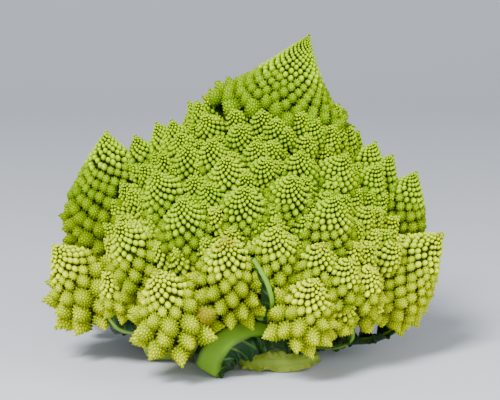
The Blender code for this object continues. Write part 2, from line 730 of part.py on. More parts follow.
def make_stalk():
    """The short thick stem with its flat cut."""
    material = plain_material("stalk", (0.55, 0.62, 0.30), 0.6)
    points = []
    for height, swell in ((0.0, 1.0), (1.5, 1.05), (12.0, 1.0), (STALK_TOP, 1.08)):
        for side in range(STALK_SIDES):
            heading = 2.0 * math.pi * side / STALK_SIDES
            wave = 1.0 + 0.05 * math.cos(5.0 * heading) + 0.02 * math.cos(3.0 * heading + 1.0)
            radius = STALK_RADIUS * swell * wave
            points.append((radius * math.cos(heading), radius * math.sin(heading), height))
    faces = [tuple(range(STALK_SIDES))[::-1]]
    for ring in range(3):
        for side in range(STALK_SIDES):
            after = (side + 1) % STALK_SIDES
            lower = ring * STALK_SIDES
            upper = lower + STALK_SIDES
            faces.append((lower + side, lower + after, upper + after, upper + side))
    faces.append(tuple(range(3 * STALK_SIDES, 4 * STALK_SIDES)))
    return mesh_object("stalk", points, faces, material)


def main():
    """Build every part."""
    empty_scene()
    head = make_head()
    make_stalk()
    for name in LEAVES:
        leaf = make_leaf(name)
        cut_away(head, make_leaf(name, LEAF_ROOM))
        print(name, len(leaf.data.polygons))
    simplify(head, HEAD_TRIANGLES)
    tidy_solid(head)
    open_slivers(head)
    print("head triangles", len(head.data.polygons))


main()
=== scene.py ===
# %% [markdown]
# # A romanesco head
#
# A romanesco is a cauliflower whose buds never stop branching: the head is a spiral of florets,
# each floret is a spiral of smaller buds, and each bud is studded with smaller ones again. The
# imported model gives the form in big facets. This script grows the fine buds, the leaves and the
# stalk over it, in the same places and at the same sizes, and then gives them their finish.

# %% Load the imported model
import math
import random

import bmesh
import bpy
import numpy as np
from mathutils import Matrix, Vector, noise


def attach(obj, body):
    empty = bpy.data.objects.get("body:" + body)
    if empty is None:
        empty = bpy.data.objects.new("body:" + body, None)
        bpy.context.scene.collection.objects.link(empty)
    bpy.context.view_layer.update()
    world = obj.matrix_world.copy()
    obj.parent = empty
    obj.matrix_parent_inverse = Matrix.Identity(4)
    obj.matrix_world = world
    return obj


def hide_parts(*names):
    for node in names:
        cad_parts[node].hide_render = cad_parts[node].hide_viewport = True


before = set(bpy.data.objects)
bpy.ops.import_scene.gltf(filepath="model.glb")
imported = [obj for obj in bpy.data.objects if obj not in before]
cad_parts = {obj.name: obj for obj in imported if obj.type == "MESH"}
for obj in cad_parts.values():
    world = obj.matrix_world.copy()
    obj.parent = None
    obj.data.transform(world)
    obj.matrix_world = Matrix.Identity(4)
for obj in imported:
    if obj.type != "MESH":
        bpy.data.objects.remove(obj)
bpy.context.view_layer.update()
print("nodes", sorted(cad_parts))

# %% [markdown]
# ## The head's own measures
#
# The florets sit where the solid has them, so this cell repeats its measures, in millimetres.
# The profile gives the outline through the floret tips: height, middle and radius. Each front
# floret has its tip across and up as the viewer sees it, the length of its flank, the rise of
# its axis, its turn to the right, and how far the tip stands off the outline. All other florets
# follow the golden angle, as they do on the plant.

# %% Measures of the head
MM = 0.001
SEED = 5
GOLDEN_ANGLE = math.radians(137.508)
APEX = (30.7, 0.0, 168.0)
VIEW_TILT = math.radians(8.0)
HEAD_PROFILE = (
    (168.0, 30.7, 0.0), (155.5, 17.0, 16.0), (145.0, 11.0, 25.0), (134.5, 7.5, 33.0),
    (124.0, 3.0, 47.0), (113.5, 0.5, 60.0), (103.0, -1.0, 74.0), (82.0, 0.0, 87.0),
    (61.0, -0.5, 99.0), (40.0, -1.0, 94.0), (29.0, 0.0, 88.0),
)

FRONT_FLORETS = (
    (-74.4, 116.5, 60.0, 76.0, 0.0, 7.0),
    (-100.4, 58.2, 44.0, 43.0, 8.0, 7.0),
    (-66.6, 70.2, 40.0, 46.0, -12.0, 1.0),
    (-46.0, 47.0, 42.0, 52.0, -8.0, 2.0),
    (-33.8, 82.7, 33.0, 58.0, 6.0, 1.0),
    (-48.4, 95.7, 33.0, 52.0, -8.0, 0.0),
    (-40.6, 121.7, 27.0, 64.0, 5.0, 0.0),
    (-48.5, 120.0, 24.0, 58.0, -8.0, 2.0),
    (-59.5, 113.0, 25.0, 62.0, 0.0, 3.0),
    (-27.6, 132.1, 20.0, 60.0, 0.0, 0.0),
    (-22.9, 135.7, 13.0, 56.0, 0.0, 0.0),
    (-24.4, 124.8, 18.0, 48.0, -6.0, 0.0),
    (-8.8, 126.9, 13.0, 46.0, 0.0, 0.0),
    (-4.7, 119.1, 17.0, 42.0, 8.0, 0.0),
    (-19.8, 112.3, 25.0, 60.0, 4.0, 0.0),
    (-13.0, 103.0, 30.0, 50.0, -8.0, 0.0),
    (-2.6, 87.9, 32.0, 46.0, 4.0, 1.0),
    (-12.0, 63.0, 42.0, 50.0, 0.0, 1.0),
    (13.5, 68.6, 32.0, 56.0, 6.0, 0.0),
    (33.0, 42.5, 36.0, 44.0, 10.0, 0.0),
    (22.4, 93.1, 29.0, 44.0, 0.0, 1.0),
    (26.0, 106.1, 22.0, 58.0, -8.0, 0.0),
    (49.4, 104.5, 35.0, 48.0, -4.0, 1.0),
    (44.0, 83.5, 38.0, 54.0, 4.0, 1.0),
    (36.0, 60.0, 26.0, 48.0, 0.0, -2.0),
    (51.0, 52.0, 27.0, 42.0, 6.0, -2.0),
    (62.0, 47.0, 25.0, 36.0, -8.0, -3.0),
    (50.0, 33.0, 24.0, 30.0, 0.0, -6.0),
    (99.3, 64.0, 52.0, 36.0, 4.0, 6.0),
    (86.3, 95.7, 38.0, 56.0, 0.0, 0.0),
    (65.0, 111.3, 27.0, 62.0, 4.0, 0.0),
    (73.8, 104.5, 21.0, 54.0, 0.0, 0.0),
    (53.0, 119.1, 16.0, 60.0, 0.0, 0.0),
    (46.8, 121.7, 21.0, 58.0, 0.0, 0.0),
    (9.4, 101.9, 17.0, 40.0, 10.0, 0.0),
    (3.6, 110.8, 16.0, 50.0, 0.0, 0.0),
    (12.0, 110.8, 13.0, 44.0, 0.0, 0.0),
    (30.7, 113.9, 14.0, 46.0, 0.0, 0.0),
    (19.8, 117.5, 12.0, 42.0, 0.0, 0.0),
    (-73.8, 44.7, 23.0, 40.0, 0.0, -7.0),
    (66.6, 34.3, 23.0, 28.0, 0.0, -8.0),
)
print("front florets", len(FRONT_FLORETS))

# %% [markdown]
# ## Where every floret stands
#
# A floret is a tip, a direction and a length. The front ones are found by looking along the
# view: the tip's depth is where that line meets the head's outline. The rest are dropped one
# golden angle after another from the lowest ring up to the crown, and a place that is already
# taken is skipped.

# %% Place the florets
BUD_SHARE = 0.20
LAST_DISTANCE = 146.0
FIRST_DISTANCE = 49.0
GROWTH = math.exp(-0.0087)


def unit(vector):
    """A vector of length one."""
    vector = np.asarray(vector, dtype=float)
    return vector / np.linalg.norm(vector)


def profile_at(height):
    """The head's middle in X and its radius at a height."""
    heights = [row[0] for row in HEAD_PROFILE][::-1]
    middle = np.interp(height, heights, [row[1] for row in HEAD_PROFILE][::-1])
    radius = np.interp(height, heights, [row[2] for row in HEAD_PROFILE][::-1])
    return float(middle), float(radius)


def height_at(distance):
    """The height on the outline at a distance from the apex."""
    heights = np.linspace(APEX[2], HEAD_PROFILE[-1][0], 300)
    radii = np.array([profile_at(height)[1] for height in heights])
    steps = np.hypot(np.diff(heights), np.diff(radii))
    travelled = np.concatenate(([0.0], np.cumsum(steps)))
    return float(np.interp(distance, travelled, heights))


def front_tip(x, seen_height, stand_off):
    """The place of a tip on the front of the head, from where the viewer sees it."""
    depth = 0.0
    for _ in range(12):
        height = (seen_height + depth * math.sin(VIEW_TILT)) / math.cos(VIEW_TILT)
        middle, radius = profile_at(height)
        radius += stand_off
        reach = radius * radius - (x - middle) ** 2
        depth = math.sqrt(max(reach, 9.0))
    return np.array((x, -depth, height))


def floret_axis(tip, rise, turn):
    """The direction a floret points in: outward from the head's middle and up."""
    middle = profile_at(tip[2])[0]
    heading = math.atan2(tip[1], tip[0] - middle) + math.radians(turn)
    rise = math.radians(rise)
    flat = math.cos(rise)
    return np.array((flat * math.cos(heading), flat * math.sin(heading), math.sin(rise)))


def rise_at(distance):
    """How steeply a floret rises, by its distance from the apex."""
    return float(np.interp(distance, (45.0, 80.0, 110.0, 146.0), (46.0, 58.0, 54.0, 40.0)))


def room_between(flank, other_flank):
    """How far apart two florets' tips are at least; the largest keep the rest off their sides."""
    usual = float(np.interp(flank, (22.0, 34.0), (0.285, 0.40))) * (flank + min(other_flank, 42.0))
    return max(usual, 0.74 * other_flank) if other_flank > 40.0 else usual


def all_florets():
    """Tip, axis and flank length of every floret: the front list, then the golden spiral."""
    florets = []
    for x, seen_height, flank, rise, turn, stand_off in FRONT_FLORETS:
        tip = front_tip(x, seen_height, stand_off)
        florets.append((tip, floret_axis(tip, rise, turn), flank))
    chance = random.Random(SEED)
    distance = LAST_DISTANCE
    heading = 0.0
    while distance > FIRST_DISTANCE:
        height = height_at(distance * chance.uniform(0.985, 1.015))
        middle, radius = profile_at(height)
        heading += GOLDEN_ANGLE
        radius *= chance.uniform(0.97, 1.0)
        radius += float(np.interp(distance, (49.0, 60.0, 90.0), (5.0, 3.0, 0.0)))
        tip = np.array((middle + radius * math.cos(heading), radius * math.sin(heading), height))
        width = BUD_SHARE * distance
        rise = rise_at(distance) + chance.uniform(-9.0, 9.0)
        flank = chance.uniform(1.25, 1.6) * width
        room = min(np.linalg.norm(tip - other[0]) / room_between(flank, other[2])
                   for other in florets)
        under_front = tip[1] < -30.0 and tip[2] < 58.0
        if room > 1.0 and not under_front:
            florets.append((tip, floret_axis(tip, rise, chance.uniform(-14.0, 14.0)), flank))
        distance *= GROWTH
    return florets


florets = all_florets()
print("florets", len(florets))

# %% [markdown]
# ## The form of one floret
#
# Seen from the side a floret is a cone whose flank turns in again low down, like a turnip,
# and whose tip bends up. It could be modelled by hand and copied, but a path is easier to
# change: walk down the flank from the tip and turn inward where the angle says so. Everything
# that sits on the floret asks this path for its place.

# %% Outline and frame of a floret
FLANK_ANGLE = 38.0
FLANK_SLOPE = math.sin(math.radians(FLANK_ANGLE))
TIP_BEND = 0.12
FLORET_TURNS = ((0.0, FLANK_ANGLE), (0.45, 36.0), (0.75, 15.0), (1.0, -10.0), (1.3, -45.0))


def flank_curve(steps, turns=FLORET_TURNS):
    """Distance from the axis, depth under the tip and flank angle along a flank of length one."""
    travelled = np.linspace(0.0, 1.3, 131)
    angle = np.radians(np.interp(travelled, [row[0] for row in turns], [row[1] for row in turns]))
    out = np.concatenate(([0.0], np.cumsum(np.sin(angle[:-1]) * 0.01)))
    down = np.concatenate(([0.0], np.cumsum(np.cos(angle[:-1]) * 0.01)))
    return (np.interp(steps, travelled, out), np.interp(steps, travelled, down),
            np.interp(steps, travelled, angle))


def frame_of(axis, lean):
    """Two directions across an axis, the first one towards the lean."""
    across = lean - axis * np.dot(lean, axis)
    if np.linalg.norm(across) < 1e-6:
        across = np.array((1.0, 0.0, 0.0)) - axis * axis[0]
    across = unit(across)
    return across, np.cross(axis, across)


class Floret:
    """One floret: where its flank is, for any step down it and any heading round it."""

    def __init__(self, tip, axis, flank, lean=(0.0, 0.0, 1.0), bend=TIP_BEND,
                 turns=FLORET_TURNS):
        self.tip = np.asarray(tip, dtype=float)
        self.axis = axis
        self.flank = flank
        self.bend = bend
        self.turns = turns
        self.across, self.beside = frame_of(axis, np.array(lean))
        self.reach = float(flank_curve(1.0, turns)[1]) * flank
        self.outline = flank_curve(np.linspace(0.0, 1.3, 66), turns)

    def surface(self, steps, headings, sink):
        """Points on the flank, sunk by a share of the flank's length, and the normals there."""
        out, down, angle = flank_curve(steps, self.turns)
        out = np.maximum(out - sink * np.cos(angle), 0.0)
        down = down + sink * np.sin(angle)
        depth = down * self.flank
        shift = self.bend * self.reach * (np.maximum(0.0, 1.0 - depth / self.reach) ** 2 - 1.0)
        ring = (np.cos(headings)[:, None] * self.across + np.sin(headings)[:, None] * self.beside)
        points = (self.tip - depth[:, None] * self.axis + ring * (out * self.flank)[:, None]
                  + shift[:, None] * self.across)
        normals = ring * np.cos(angle)[:, None] + self.axis * np.sin(angle)[:, None]
        return points, normals

    def buried(self, points, margin):
        """Whether points lie inside this floret by more than a share of its flank."""
        depth = (self.tip - points) @ self.axis
        shift = self.bend * self.reach * (np.maximum(0.0, 1.0 - depth / self.reach) ** 2 - 1.0)
        centre = self.tip - depth[:, None] * self.axis + shift[:, None] * self.across
        radius = np.linalg.norm(points - centre, axis=1) / self.flank
        out, down, _ = self.outline
        limit = np.interp(depth / self.flank, down, out, left=-1.0, right=-1.0)
        return radius < limit - margin


# %% [markdown]
# ## Small florets in the gaps, and the crown
#
# Between the large florets a real head never shows a hole: smaller ones have grown there,
# deeper in. The same golden spiral is walked again a little under the outline, and a small
# floret goes wherever none is near yet. The crown at the top is one more floret, the largest.
# It leans, and its flank opens out downwards instead of turning in.

# %% Fill the gaps and add the crown
FILLER_TRIES = 620
FILLER_DISTANCES = (48.0, 144.0)
FILLER_DEPTHS = (9.0, 13.0)
FILLER_FLANKS = (15.0, 21.0)
FILLER_ROOM = 9.5
CROWN_GAPS = ((-18.0, -15.0, 127.5), (-8.0, -25.0, 123.0))
CROWN_FLANK = 57.0
CROWN_LEAN = math.radians(13.0)
CROWN_BEND = 0.14
CROWN_TURNS = ((0.0, 31.5), (0.28, 35.0), (0.55, 41.0), (0.9, 46.0), (1.02, 0.0), (1.12, -60.0))


def fillers(placed):
    """Small florets that fill the room between the large ones, deeper in the head."""
    chance = random.Random(SEED + 1)
    bodies = [Floret(tip, axis, flank) for tip, axis, flank in placed]
    nearest, furthest = FILLER_DISTANCES
    found = []
    for number in range(FILLER_TRIES):
        share = math.sqrt((number + 0.5) / FILLER_TRIES)
        distance = nearest + (furthest - nearest) * share
        height = height_at(distance)
        middle, radius = profile_at(height)
        heading = number * GOLDEN_ANGLE + 1.0
        radius -= chance.uniform(*FILLER_DEPTHS)
        flank = chance.uniform(*FILLER_FLANKS)
        tip = np.array((middle + radius * math.cos(heading), radius * math.sin(heading), height))
        axis = floret_axis(tip, rise_at(distance) - 12.0, chance.uniform(-10.0, 10.0))
        inside = any(body.buried(tip[None, :], 0.01)[0] for body in bodies)
        under_front = tip[1] < -30.0 and tip[2] < 50.0
        room = min(np.linalg.norm(tip - other[0]) for other in placed + found)
        if not inside and not under_front and room >= FILLER_ROOM:
            found.append((tip, axis, flank))
    found += [(np.array(tip), floret_axis(np.array(tip), 42.0, 0.0), 17.0) for tip in CROWN_GAPS]
    return found


deeper = fillers(florets)
print("florets between the large ones", len(deeper))
grown = [Floret(tip, axis, flank) for tip, axis, flank in florets + deeper]
crown_axis = unit((math.sin(CROWN_LEAN), 0.0, math.cos(CROWN_LEAN)))
crown = Floret(APEX, crown_axis, CROWN_FLANK, (1.0, 0.0, 0.0), CROWN_BEND, CROWN_TURNS)
grown.append(crown)
print("largest flank in mm", max(one.flank for one in grown))

# %% [markdown]
# ## Buds to place
#
# The buds differ mostly in size, so a few patterns are enough. Up to about four millimetres a bud
# is a plain knob. A wider one is beaded with buds of its own: a dome first, and a pointed cone
# from about seven millimetres. The beads follow the golden angle again. Each bead is a peak with
# a ring of valleys round it, found by wrapping a hull over the beads and turning every edge of it
# across. Every point keeps its height between crevice and top as `rise`, for the colours: painted
# shade in the valleys and towards a bud's foot, a painted highlight on its top.

# %% Bud patterns


def knob_pattern(sides, rings, height):
    """A plain blunt cone of foot radius one, its foot under the surface."""
    points, rise = [(0.0, 0.0, 0.5 + 0.5 * height)], [1.0]
    for ring in range(1, rings + 1):
        angle = math.radians(120.0) * ring / rings
        steep = height / (math.cos(angle) + height * math.sin(angle)) if angle < 1.5 else 1.0
        reach = 0.5 + 0.5 * steep
        for side in range(sides):
            heading = 2.0 * math.pi * (side + 0.5 * (ring % 2)) / sides
            points.append((reach * math.sin(angle) * math.cos(heading),
                           reach * math.sin(angle) * math.sin(heading), reach * math.cos(angle)))
            # Lighter on top, darker towards the foot: painted highlight and painted shade
            rise.append(max(0.0, math.cos(angle)) ** 0.95)
    faces = [(0, 1 + side, 1 + (side + 1) % sides) for side in range(sides)]
    for ring in range(1, rings):
        for side in range(sides):
            first = 1 + (ring - 1) * sides
            here, after = first + side, first + (side + 1) % sides
            low, low_after = here + sides, after + sides
            if ring % 2:
                faces += [(here, low, after), (after, low, low_after)]
            else:
                faces += [(here, low, low_after), (here, low_after, after)]
    return np.array(points), np.array(faces), np.array(rise)


def hull_triangles(points):
    """The triangles of the hull round points on a ball, facing outward."""
    hull = bmesh.new()
    verts = [hull.verts.new(point) for point in points]
    hull.verts.index_update()
    bmesh.ops.convex_hull(hull, input=verts)
    bmesh.ops.triangulate(hull, faces=hull.faces[:])
    hull.verts.index_update()
    faces = []
    for face in hull.faces:
        a, b, c = (vert.index for vert in face.verts)
        outward = np.dot(np.cross(points[b] - points[a], points[c] - points[a]), points[a])
        faces.append((a, b, c) if outward > 0.0 else (a, c, b))
    hull.free()
    return faces


def beaded_pattern(beads, height, spread, relief, valley_shade):
    """A bud of foot radius one covered with beads; a height over one makes it pointed."""
    last = math.radians(118.0)
    shares = (np.arange(beads) + 0.4) / beads
    polar = last * shares ** spread
    heading = np.arange(beads) * GOLDEN_ANGLE
    ball = np.stack((np.sin(polar) * np.cos(heading), np.sin(polar) * np.sin(heading),
                     np.cos(polar)), 1)
    room = 2.0 * math.pi * np.sin(polar) * last * spread * shares ** (spread - 1.0) / beads
    spacing = np.sqrt(1.155 * room)

    def body(angles):
        steep = height / (np.cos(angles) + height * np.sin(angles))
        cone = np.where(angles < math.radians(75.0), steep, 1.0)
        low = np.clip((angles - math.radians(80.0)) / math.radians(60.0), 0.0, 1.0)
        pointed = min(1.0, (height - 1.0) / 0.5)
        return (1.0 - pointed + pointed * cone) * (1.0 - 0.35 * low)

    tops = ball * (body(polar) * (1.0 + relief * spacing))[:, None]
    triangles = hull_triangles(ball)
    middles = np.array([ball[list(face)].mean(axis=0) for face in triangles])
    middles /= np.linalg.norm(middles, axis=1, keepdims=True)
    angles = np.arccos(np.clip(middles[:, 2], -1.0, 1.0))
    gaps = np.array([spacing[list(face)].mean() for face in triangles])
    valleys = middles * (body(angles) * (1.0 - relief * gaps))[:, None]
    beside = {}
    for number, (a, b, c) in enumerate(triangles):
        for edge in ((a, b), (b, c), (c, a)):
            beside[edge] = beads + number
    faces = []
    for (a, b), left in beside.items():
        right = beside[(b, a)]
        faces.append((a, right, left))
    # The rise darkens towards the bud's foot and in the valleys: painted shade
    fade_to_shade = np.clip(1.3 - np.concatenate((polar, angles)) / math.radians(95.0), 0.0, 1.0) ** 0.8
    rise = np.concatenate((np.ones(beads), np.full(len(valleys), valley_shade))) * fade_to_shade
    return np.vstack((tops, valleys)), np.array(faces), rise


# The widest bud in millimetres, the pattern, and how far it is drawn out along its own axis
PATTERNS = (
    (1.9, knob_pattern(7, 3, 1.6), 1.1),
    (4.2, knob_pattern(10, 5, 1.6), 1.1),
    # A beaded pattern's last number is the painted shade of its valleys
    (5.4, beaded_pattern(34, 1.1, 0.52, 0.28, 0.50), 1.1),
    (7.4, beaded_pattern(60, 1.3, 0.60, 0.36, 0.36), 1.12),
    (99.0, beaded_pattern(100, 1.6, 0.72, 0.42, 0.27), 1.15),
)
for limit, pattern, _ in PATTERNS:
    print("buds up to", limit, "mm:", len(pattern[1]), "triangles")

# %% [markdown]
# ## Buds on every floret
#
# On a floret the buds stand on a golden spiral too. They are small at its tip and wider further
# down, where those of the low florets are overgrown. The upper florets have finer ones. A bud
# leans from the flank's normal towards the tip. Those that would be inside a neighbour are left
# out, which keeps the meshes light and clean. For each of the others, five points further out
# are tried: the more of them lie inside other florets, the darker the bud is painted, as painted
# shade, and so is one that is far down a flank.

# %% Spread the buds
BUD_WIDTHS = ((0.0, 5.0, 9.0, 14.0, 23.0, 57.0), (1.3, 2.15, 2.85, 3.75, 5.2, 9.3))
CROWN_WIDTHS = ((0.0, 5.0, 20.0, 40.0, 57.0), (0.9, 1.45, 3.2, 6.0, 10.0))
FIRST_BUD = 0.9
BUD_LEAN = ((0.0, 0.5, 0.8, 1.1), (0.12, 0.16, 0.22, 0.0))
BUD_SINK = 0.12
LARGE_FLANK = 50.0
SMALL_FLANK = 22.0
ROW_HEIGHT = 0.866
DISORDER = ((30.0, 50.0), (0.03, 0.07))
CROWN_DISORDER = 0.05
FOOT_SHADE = ((60.0, 90.0), (0.95, 0.5))


def bud_shares(floret, steps):
    """A bud's width over its distance from the tip. Low on a floret the buds are overgrown."""
    distances = np.maximum(np.asarray(steps) * floret.flank, FIRST_BUD)
    if floret is crown:
        return np.interp(distances, *CROWN_WIDTHS) / distances
    peak = float(np.interp(floret.tip[2], (60.0, 100.0), (1.75, 1.25)))
    if floret.flank < SMALL_FLANK:
        peak = 1.1
    overgrown = np.interp(steps, (0.0, 0.42, 0.62, 1.08), (1.0, 1.0, peak, 0.95 * peak))
    finer = float(np.interp(floret.tip[2], (70.0, 100.0), (1.0, 0.86)))
    if floret.flank > LARGE_FLANK:
        overgrown = np.interp(steps, (0.0, 0.2, 0.4, 0.7, 1.08), (1.0, 0.92, 0.84, 1.0, 1.1))
        finer = 1.0
    return np.interp(distances, *BUD_WIDTHS) / distances * overgrown * finer


def bud_steps_of(floret):
    """Steps down the flank of the buds, the lowest first, spaced so that buds just touch."""
    step = 1.0 if floret is crown else 1.08
    steps = []
    while step * floret.flank > FIRST_BUD:
        steps.append(step)
        share = min(float(bud_shares(floret, step)), 0.6)
        step *= math.exp(-share ** 2 * ROW_HEIGHT / (2.0 * math.pi * FLANK_SLOPE))
    return np.array(steps)


def bud_places(floret, number):
    """Place, direction, width and turn of each bud of one floret; the last is its tip."""
    chance = np.random.default_rng(1000 + number)
    steps = bud_steps_of(floret)
    count = len(steps)
    headings = np.arange(count) * GOLDEN_ANGLE + number * 1.7
    out = flank_curve(steps, floret.turns)[0]
    crowding = np.sqrt(out / (steps * FLANK_SLOPE))
    shares = bud_shares(floret, steps)
    widths = shares * steps * floret.flank * crowding * chance.uniform(0.88, 1.10, count)
    disorder = float(np.interp(floret.flank, *DISORDER))
    if floret is crown:
        disorder = CROWN_DISORDER
    headings += chance.normal(0.0, disorder, count) * shares / FLANK_SLOPE
    placed = steps * (1.0 + chance.normal(0.0, disorder, count) * shares)
    points, normals = floret.surface(placed, headings, BUD_SINK * shares * steps)
    lean = np.interp(steps, *BUD_LEAN)[:, None]
    aims = normals + lean * floret.axis + chance.normal(0.0, 0.05, (count, 3))
    aims /= np.linalg.norm(aims, axis=1, keepdims=True)
    tip_width = float(bud_shares(floret, 0.0)) * FIRST_BUD * 1.3
    points = np.vstack((points, floret.tip - floret.axis * 0.2 * tip_width))
    aims = np.vstack((aims, floret.axis))
    turns = chance.uniform(0.0, 2.0 * math.pi, count + 1)
    return points, aims, np.append(widths, tip_width), turns


def visible_buds():
    """Each bud outside its neighbours: its floret's number, its own measures, its painted light."""
    rows = []
    for number, floret in enumerate(grown):
        points, aims, widths, turns = bud_places(floret, number)
        outward = points * (1.0, 1.0, 0.0)
        outward /= np.maximum(np.linalg.norm(outward, axis=1, keepdims=True), 1.0)
        tops = points + aims * (widths * 0.55)[:, None]
        looks = [tops + aims * 6.0, tops + aims * 12.0, tops + outward * 8.0, tops + outward * 16.0,
                 tops + np.array((0.0, 0.0, 10.0))]
        hidden = np.zeros((len(looks), len(points)), dtype=bool)
        keep = points[:, 2] > 1.0
        for other_number, other in enumerate(grown):
            if other_number == number:
                continue
            if np.linalg.norm(other.tip - floret.tip) > 1.6 * (other.flank + floret.flank):
                continue
            keep &= ~other.buried(tops, 0.035)
            for look, closed in zip(looks, hidden):
                closed |= other.buried(look, 0.0)
        # A bud's painted light: the share of free looks, lowered far down a flank; it darkens the
        # colour as painted shade
        painted_light = 1.0 - hidden.mean(axis=0)
        depth = np.linalg.norm(points - floret.tip, axis=1) / floret.flank
        if floret is not crown:
            foot = float(np.interp(floret.tip[2], *FOOT_SHADE))
            painted_light *= np.interp(depth, (0.3, 1.0), (1.0, foot))
        rows.append((np.full(keep.sum(), number), points[keep], aims[keep], widths[keep],
                     turns[keep], painted_light[keep]))
    return [np.concatenate([row[column] for row in rows]) for column in range(6)]


owner, bud_points, bud_aims, bud_widths, bud_turns, bud_painted_light = visible_buds()
print("buds", len(owner))

# %% [markdown]
# ## From places to meshes
#
# Blender could place instances, but the parts are kept as plain meshes, so the patterns are
# multiplied out with array sums: one rotation and one size for each bud. Each point also carries
# `rise`, painted shade and highlight from 0 in a crevice to 1 on an open bud's top, and `zone`,
# which tells the paler, yellower florets low down from the greener ones at the top. The bake map
# is laid out by these two numbers, so that a baked picture of the colours is a smooth chart of them.

# %% Multiply patterns out
BUD_SPREAD = 0.51
BUD_OVAL = (0.95, 1.18)
BODY_SINK = 0.42
HIDDEN_SHADE = 0.36
PALE_HEIGHT = 15.0
GREEN_HEIGHT = 90.0
GREEN_ZONE = 0.9
CHART_MARGIN = 0.02


def multiplied(pattern, stretch, points, aims, widths, turns, zones, painted_light, axis):
    """The vertices, triangles, painted shading and zones of one pattern at many places."""
    base, faces, rise = pattern
    side = np.cross(aims, axis + np.array((0.011, 0.007, 0.003)))
    side /= np.linalg.norm(side, axis=1, keepdims=True)
    upward = np.cross(side, aims)
    cosines, sines = np.cos(turns)[:, None], np.sin(turns)[:, None]
    wide = (base[None, :, 0] * cosines - base[None, :, 1] * sines) * BUD_OVAL[0]
    tall = (base[None, :, 0] * sines + base[None, :, 1] * cosines) * BUD_OVAL[1]
    half = (widths * BUD_SPREAD)[:, None, None]
    verts = (points[:, None, :]
             + half * (wide[:, :, None] * side[:, None, :] + tall[:, :, None] * upward[:, None, :]
                       + stretch * base[None, :, 2:3] * aims[:, None, :]))
    count, size = len(points), len(base)
    tris = faces[None, :, :] + (np.arange(count) * size)[:, None, None]
    # A hidden bud is painted darker: painted shade
    shade = HIDDEN_SHADE + (1.0 - HIDDEN_SHADE) * painted_light
    painted_shading = (shade[:, None] * rise[None, :]).ravel()
    return verts.reshape(-1, 3), tris.reshape(-1, 3), painted_shading, np.repeat(zones, size)


def body_mesh(floret, sides, rings, zone, neck):
    """The floret's own flank under its buds, and the branch it stands on."""
    steps = np.concatenate((np.linspace(0.0, 1.0, rings) ** 1.3 * 1.18, [1.3]))
    headings = 2.0 * math.pi * np.arange(sides) / sides
    grid_steps = np.repeat(steps[1:], sides)
    grid_headings = np.tile(headings, len(steps) - 1)
    depths = BODY_SINK * np.minimum(bud_shares(floret, grid_steps), 0.5) * grid_steps
    points, _ = floret.surface(grid_steps, grid_headings, depths)
    verts = np.vstack((floret.tip[None, :], points, neck[None, :]))
    faces = [(0, 1 + side, 1 + (side + 1) % sides) for side in range(sides)]
    for ring in range(len(steps) - 2):
        for side in range(sides):
            here, after = 1 + ring * sides + side, 1 + ring * sides + (side + 1) % sides
            faces += [(here, here + sides, after), (after, here + sides, after + sides)]
    last = 1 + (len(steps) - 2) * sides
    end = len(verts) - 1
    faces += [(last + side, end, last + (side + 1) % sides) for side in range(sides)]
    # The body's rise is painted light: painted shade between the buds, lighter at the bare tip and on
    # the neck
    rise = np.full(len(verts), 0.05)
    rise[0] = 0.9
    rise[1:-1] = np.where(grid_steps * floret.flank < 1.5 * FIRST_BUD, 0.8, 0.06)
    rise[1:-1] = np.where(grid_steps > 1.2, 0.25, rise[1:-1])
    rise[-1] = 0.3
    faces = np.array(faces)[:, ::-1]
    return verts, faces, rise, np.full(len(verts), zone)


def hub_of(tip):
    """The point inside the head that a floret's branch comes from."""
    middle, radius = profile_at(tip[2])
    height = max(46.0, tip[2] - 0.8 * radius)
    return np.array((profile_at(height)[0], 0.0, height))


def zone_of(heights):
    """Where a height lies between the pale foot of the head, 0, and its green top, GREEN_ZONE."""
    return GREEN_ZONE * np.clip((heights - PALE_HEIGHT) / (GREEN_HEIGHT - PALE_HEIGHT), 0.0, 1.0)


def linked(name, data):
    """An object of this name and data, in the scene."""
    made = bpy.data.objects.new(name, data)
    bpy.context.scene.collection.objects.link(made)
    return made


def add_layers(mesh, layers):
    """Keep numbers with the points of a mesh."""
    for label, values in layers.items():
        layer = mesh.attributes.new(label, "FLOAT", "POINT")
        layer.data.foreach_set("value", np.asarray(values, dtype=np.float32))


def head_piece(name, verts, tris, rise, zone):
    """A smooth mesh in metres with its two numbers a point and the bake map made of them."""
    mesh = bpy.data.meshes.new(name)
    mesh.vertices.add(len(verts))
    mesh.vertices.foreach_set("co", (verts * MM).astype(np.float32).ravel())
    mesh.loops.add(3 * len(tris))
    mesh.loops.foreach_set("vertex_index", tris.astype(np.int32).ravel())
    mesh.polygons.add(len(tris))
    mesh.polygons.foreach_set("loop_start", np.arange(0, 3 * len(tris), 3, dtype=np.int32))
    mesh.update(calc_edges=True)
    mesh.shade_smooth()
    # rise is painted shade and highlight; zone is the curd's own tone and browning
    add_layers(mesh, {"rise": rise, "zone": zone})
    chart = mesh.uv_layers.new(name="OFBake")
    places = CHART_MARGIN + (1.0 - 2.0 * CHART_MARGIN) * np.stack((rise, zone), axis=1)
    chart.data.foreach_set("uv", places[tris.ravel()].astype(np.float32).ravel())
    return linked(name, mesh)


def joined(parts):
    """Several meshes as one set of arrays."""
    verts, tris, painted_shading, zones = zip(*parts)
    starts = np.cumsum([0] + [len(part) for part in verts[:-1]])
    tris = [part + start for part, start in zip(tris, starts)]
    return np.vstack(verts), np.vstack(tris), np.concatenate(painted_shading), np.concatenate(zones)


# %% [markdown]
# ## Greener, paler and browned buds
#
# No two florets are quite the same green, so each floret and each bud gets a small shift of its
# zone. A head that has travelled also has a few tips that dried brown and a bruise low in front.
# Their buds get a zone of their own past the greenest, which the finish turns brown.

# %% Zones of the buds
WORN_ZONE = 0.97
WORN_TIPS = ((0, 2.5), (3, 2.5), (17, 7.0), (24, 4.5), (28, 3.5), (10, 3.0))
BRUISE_PLACE = np.array((-27.5, -80.0, 33.0))
BRUISE_REACH = 7.5

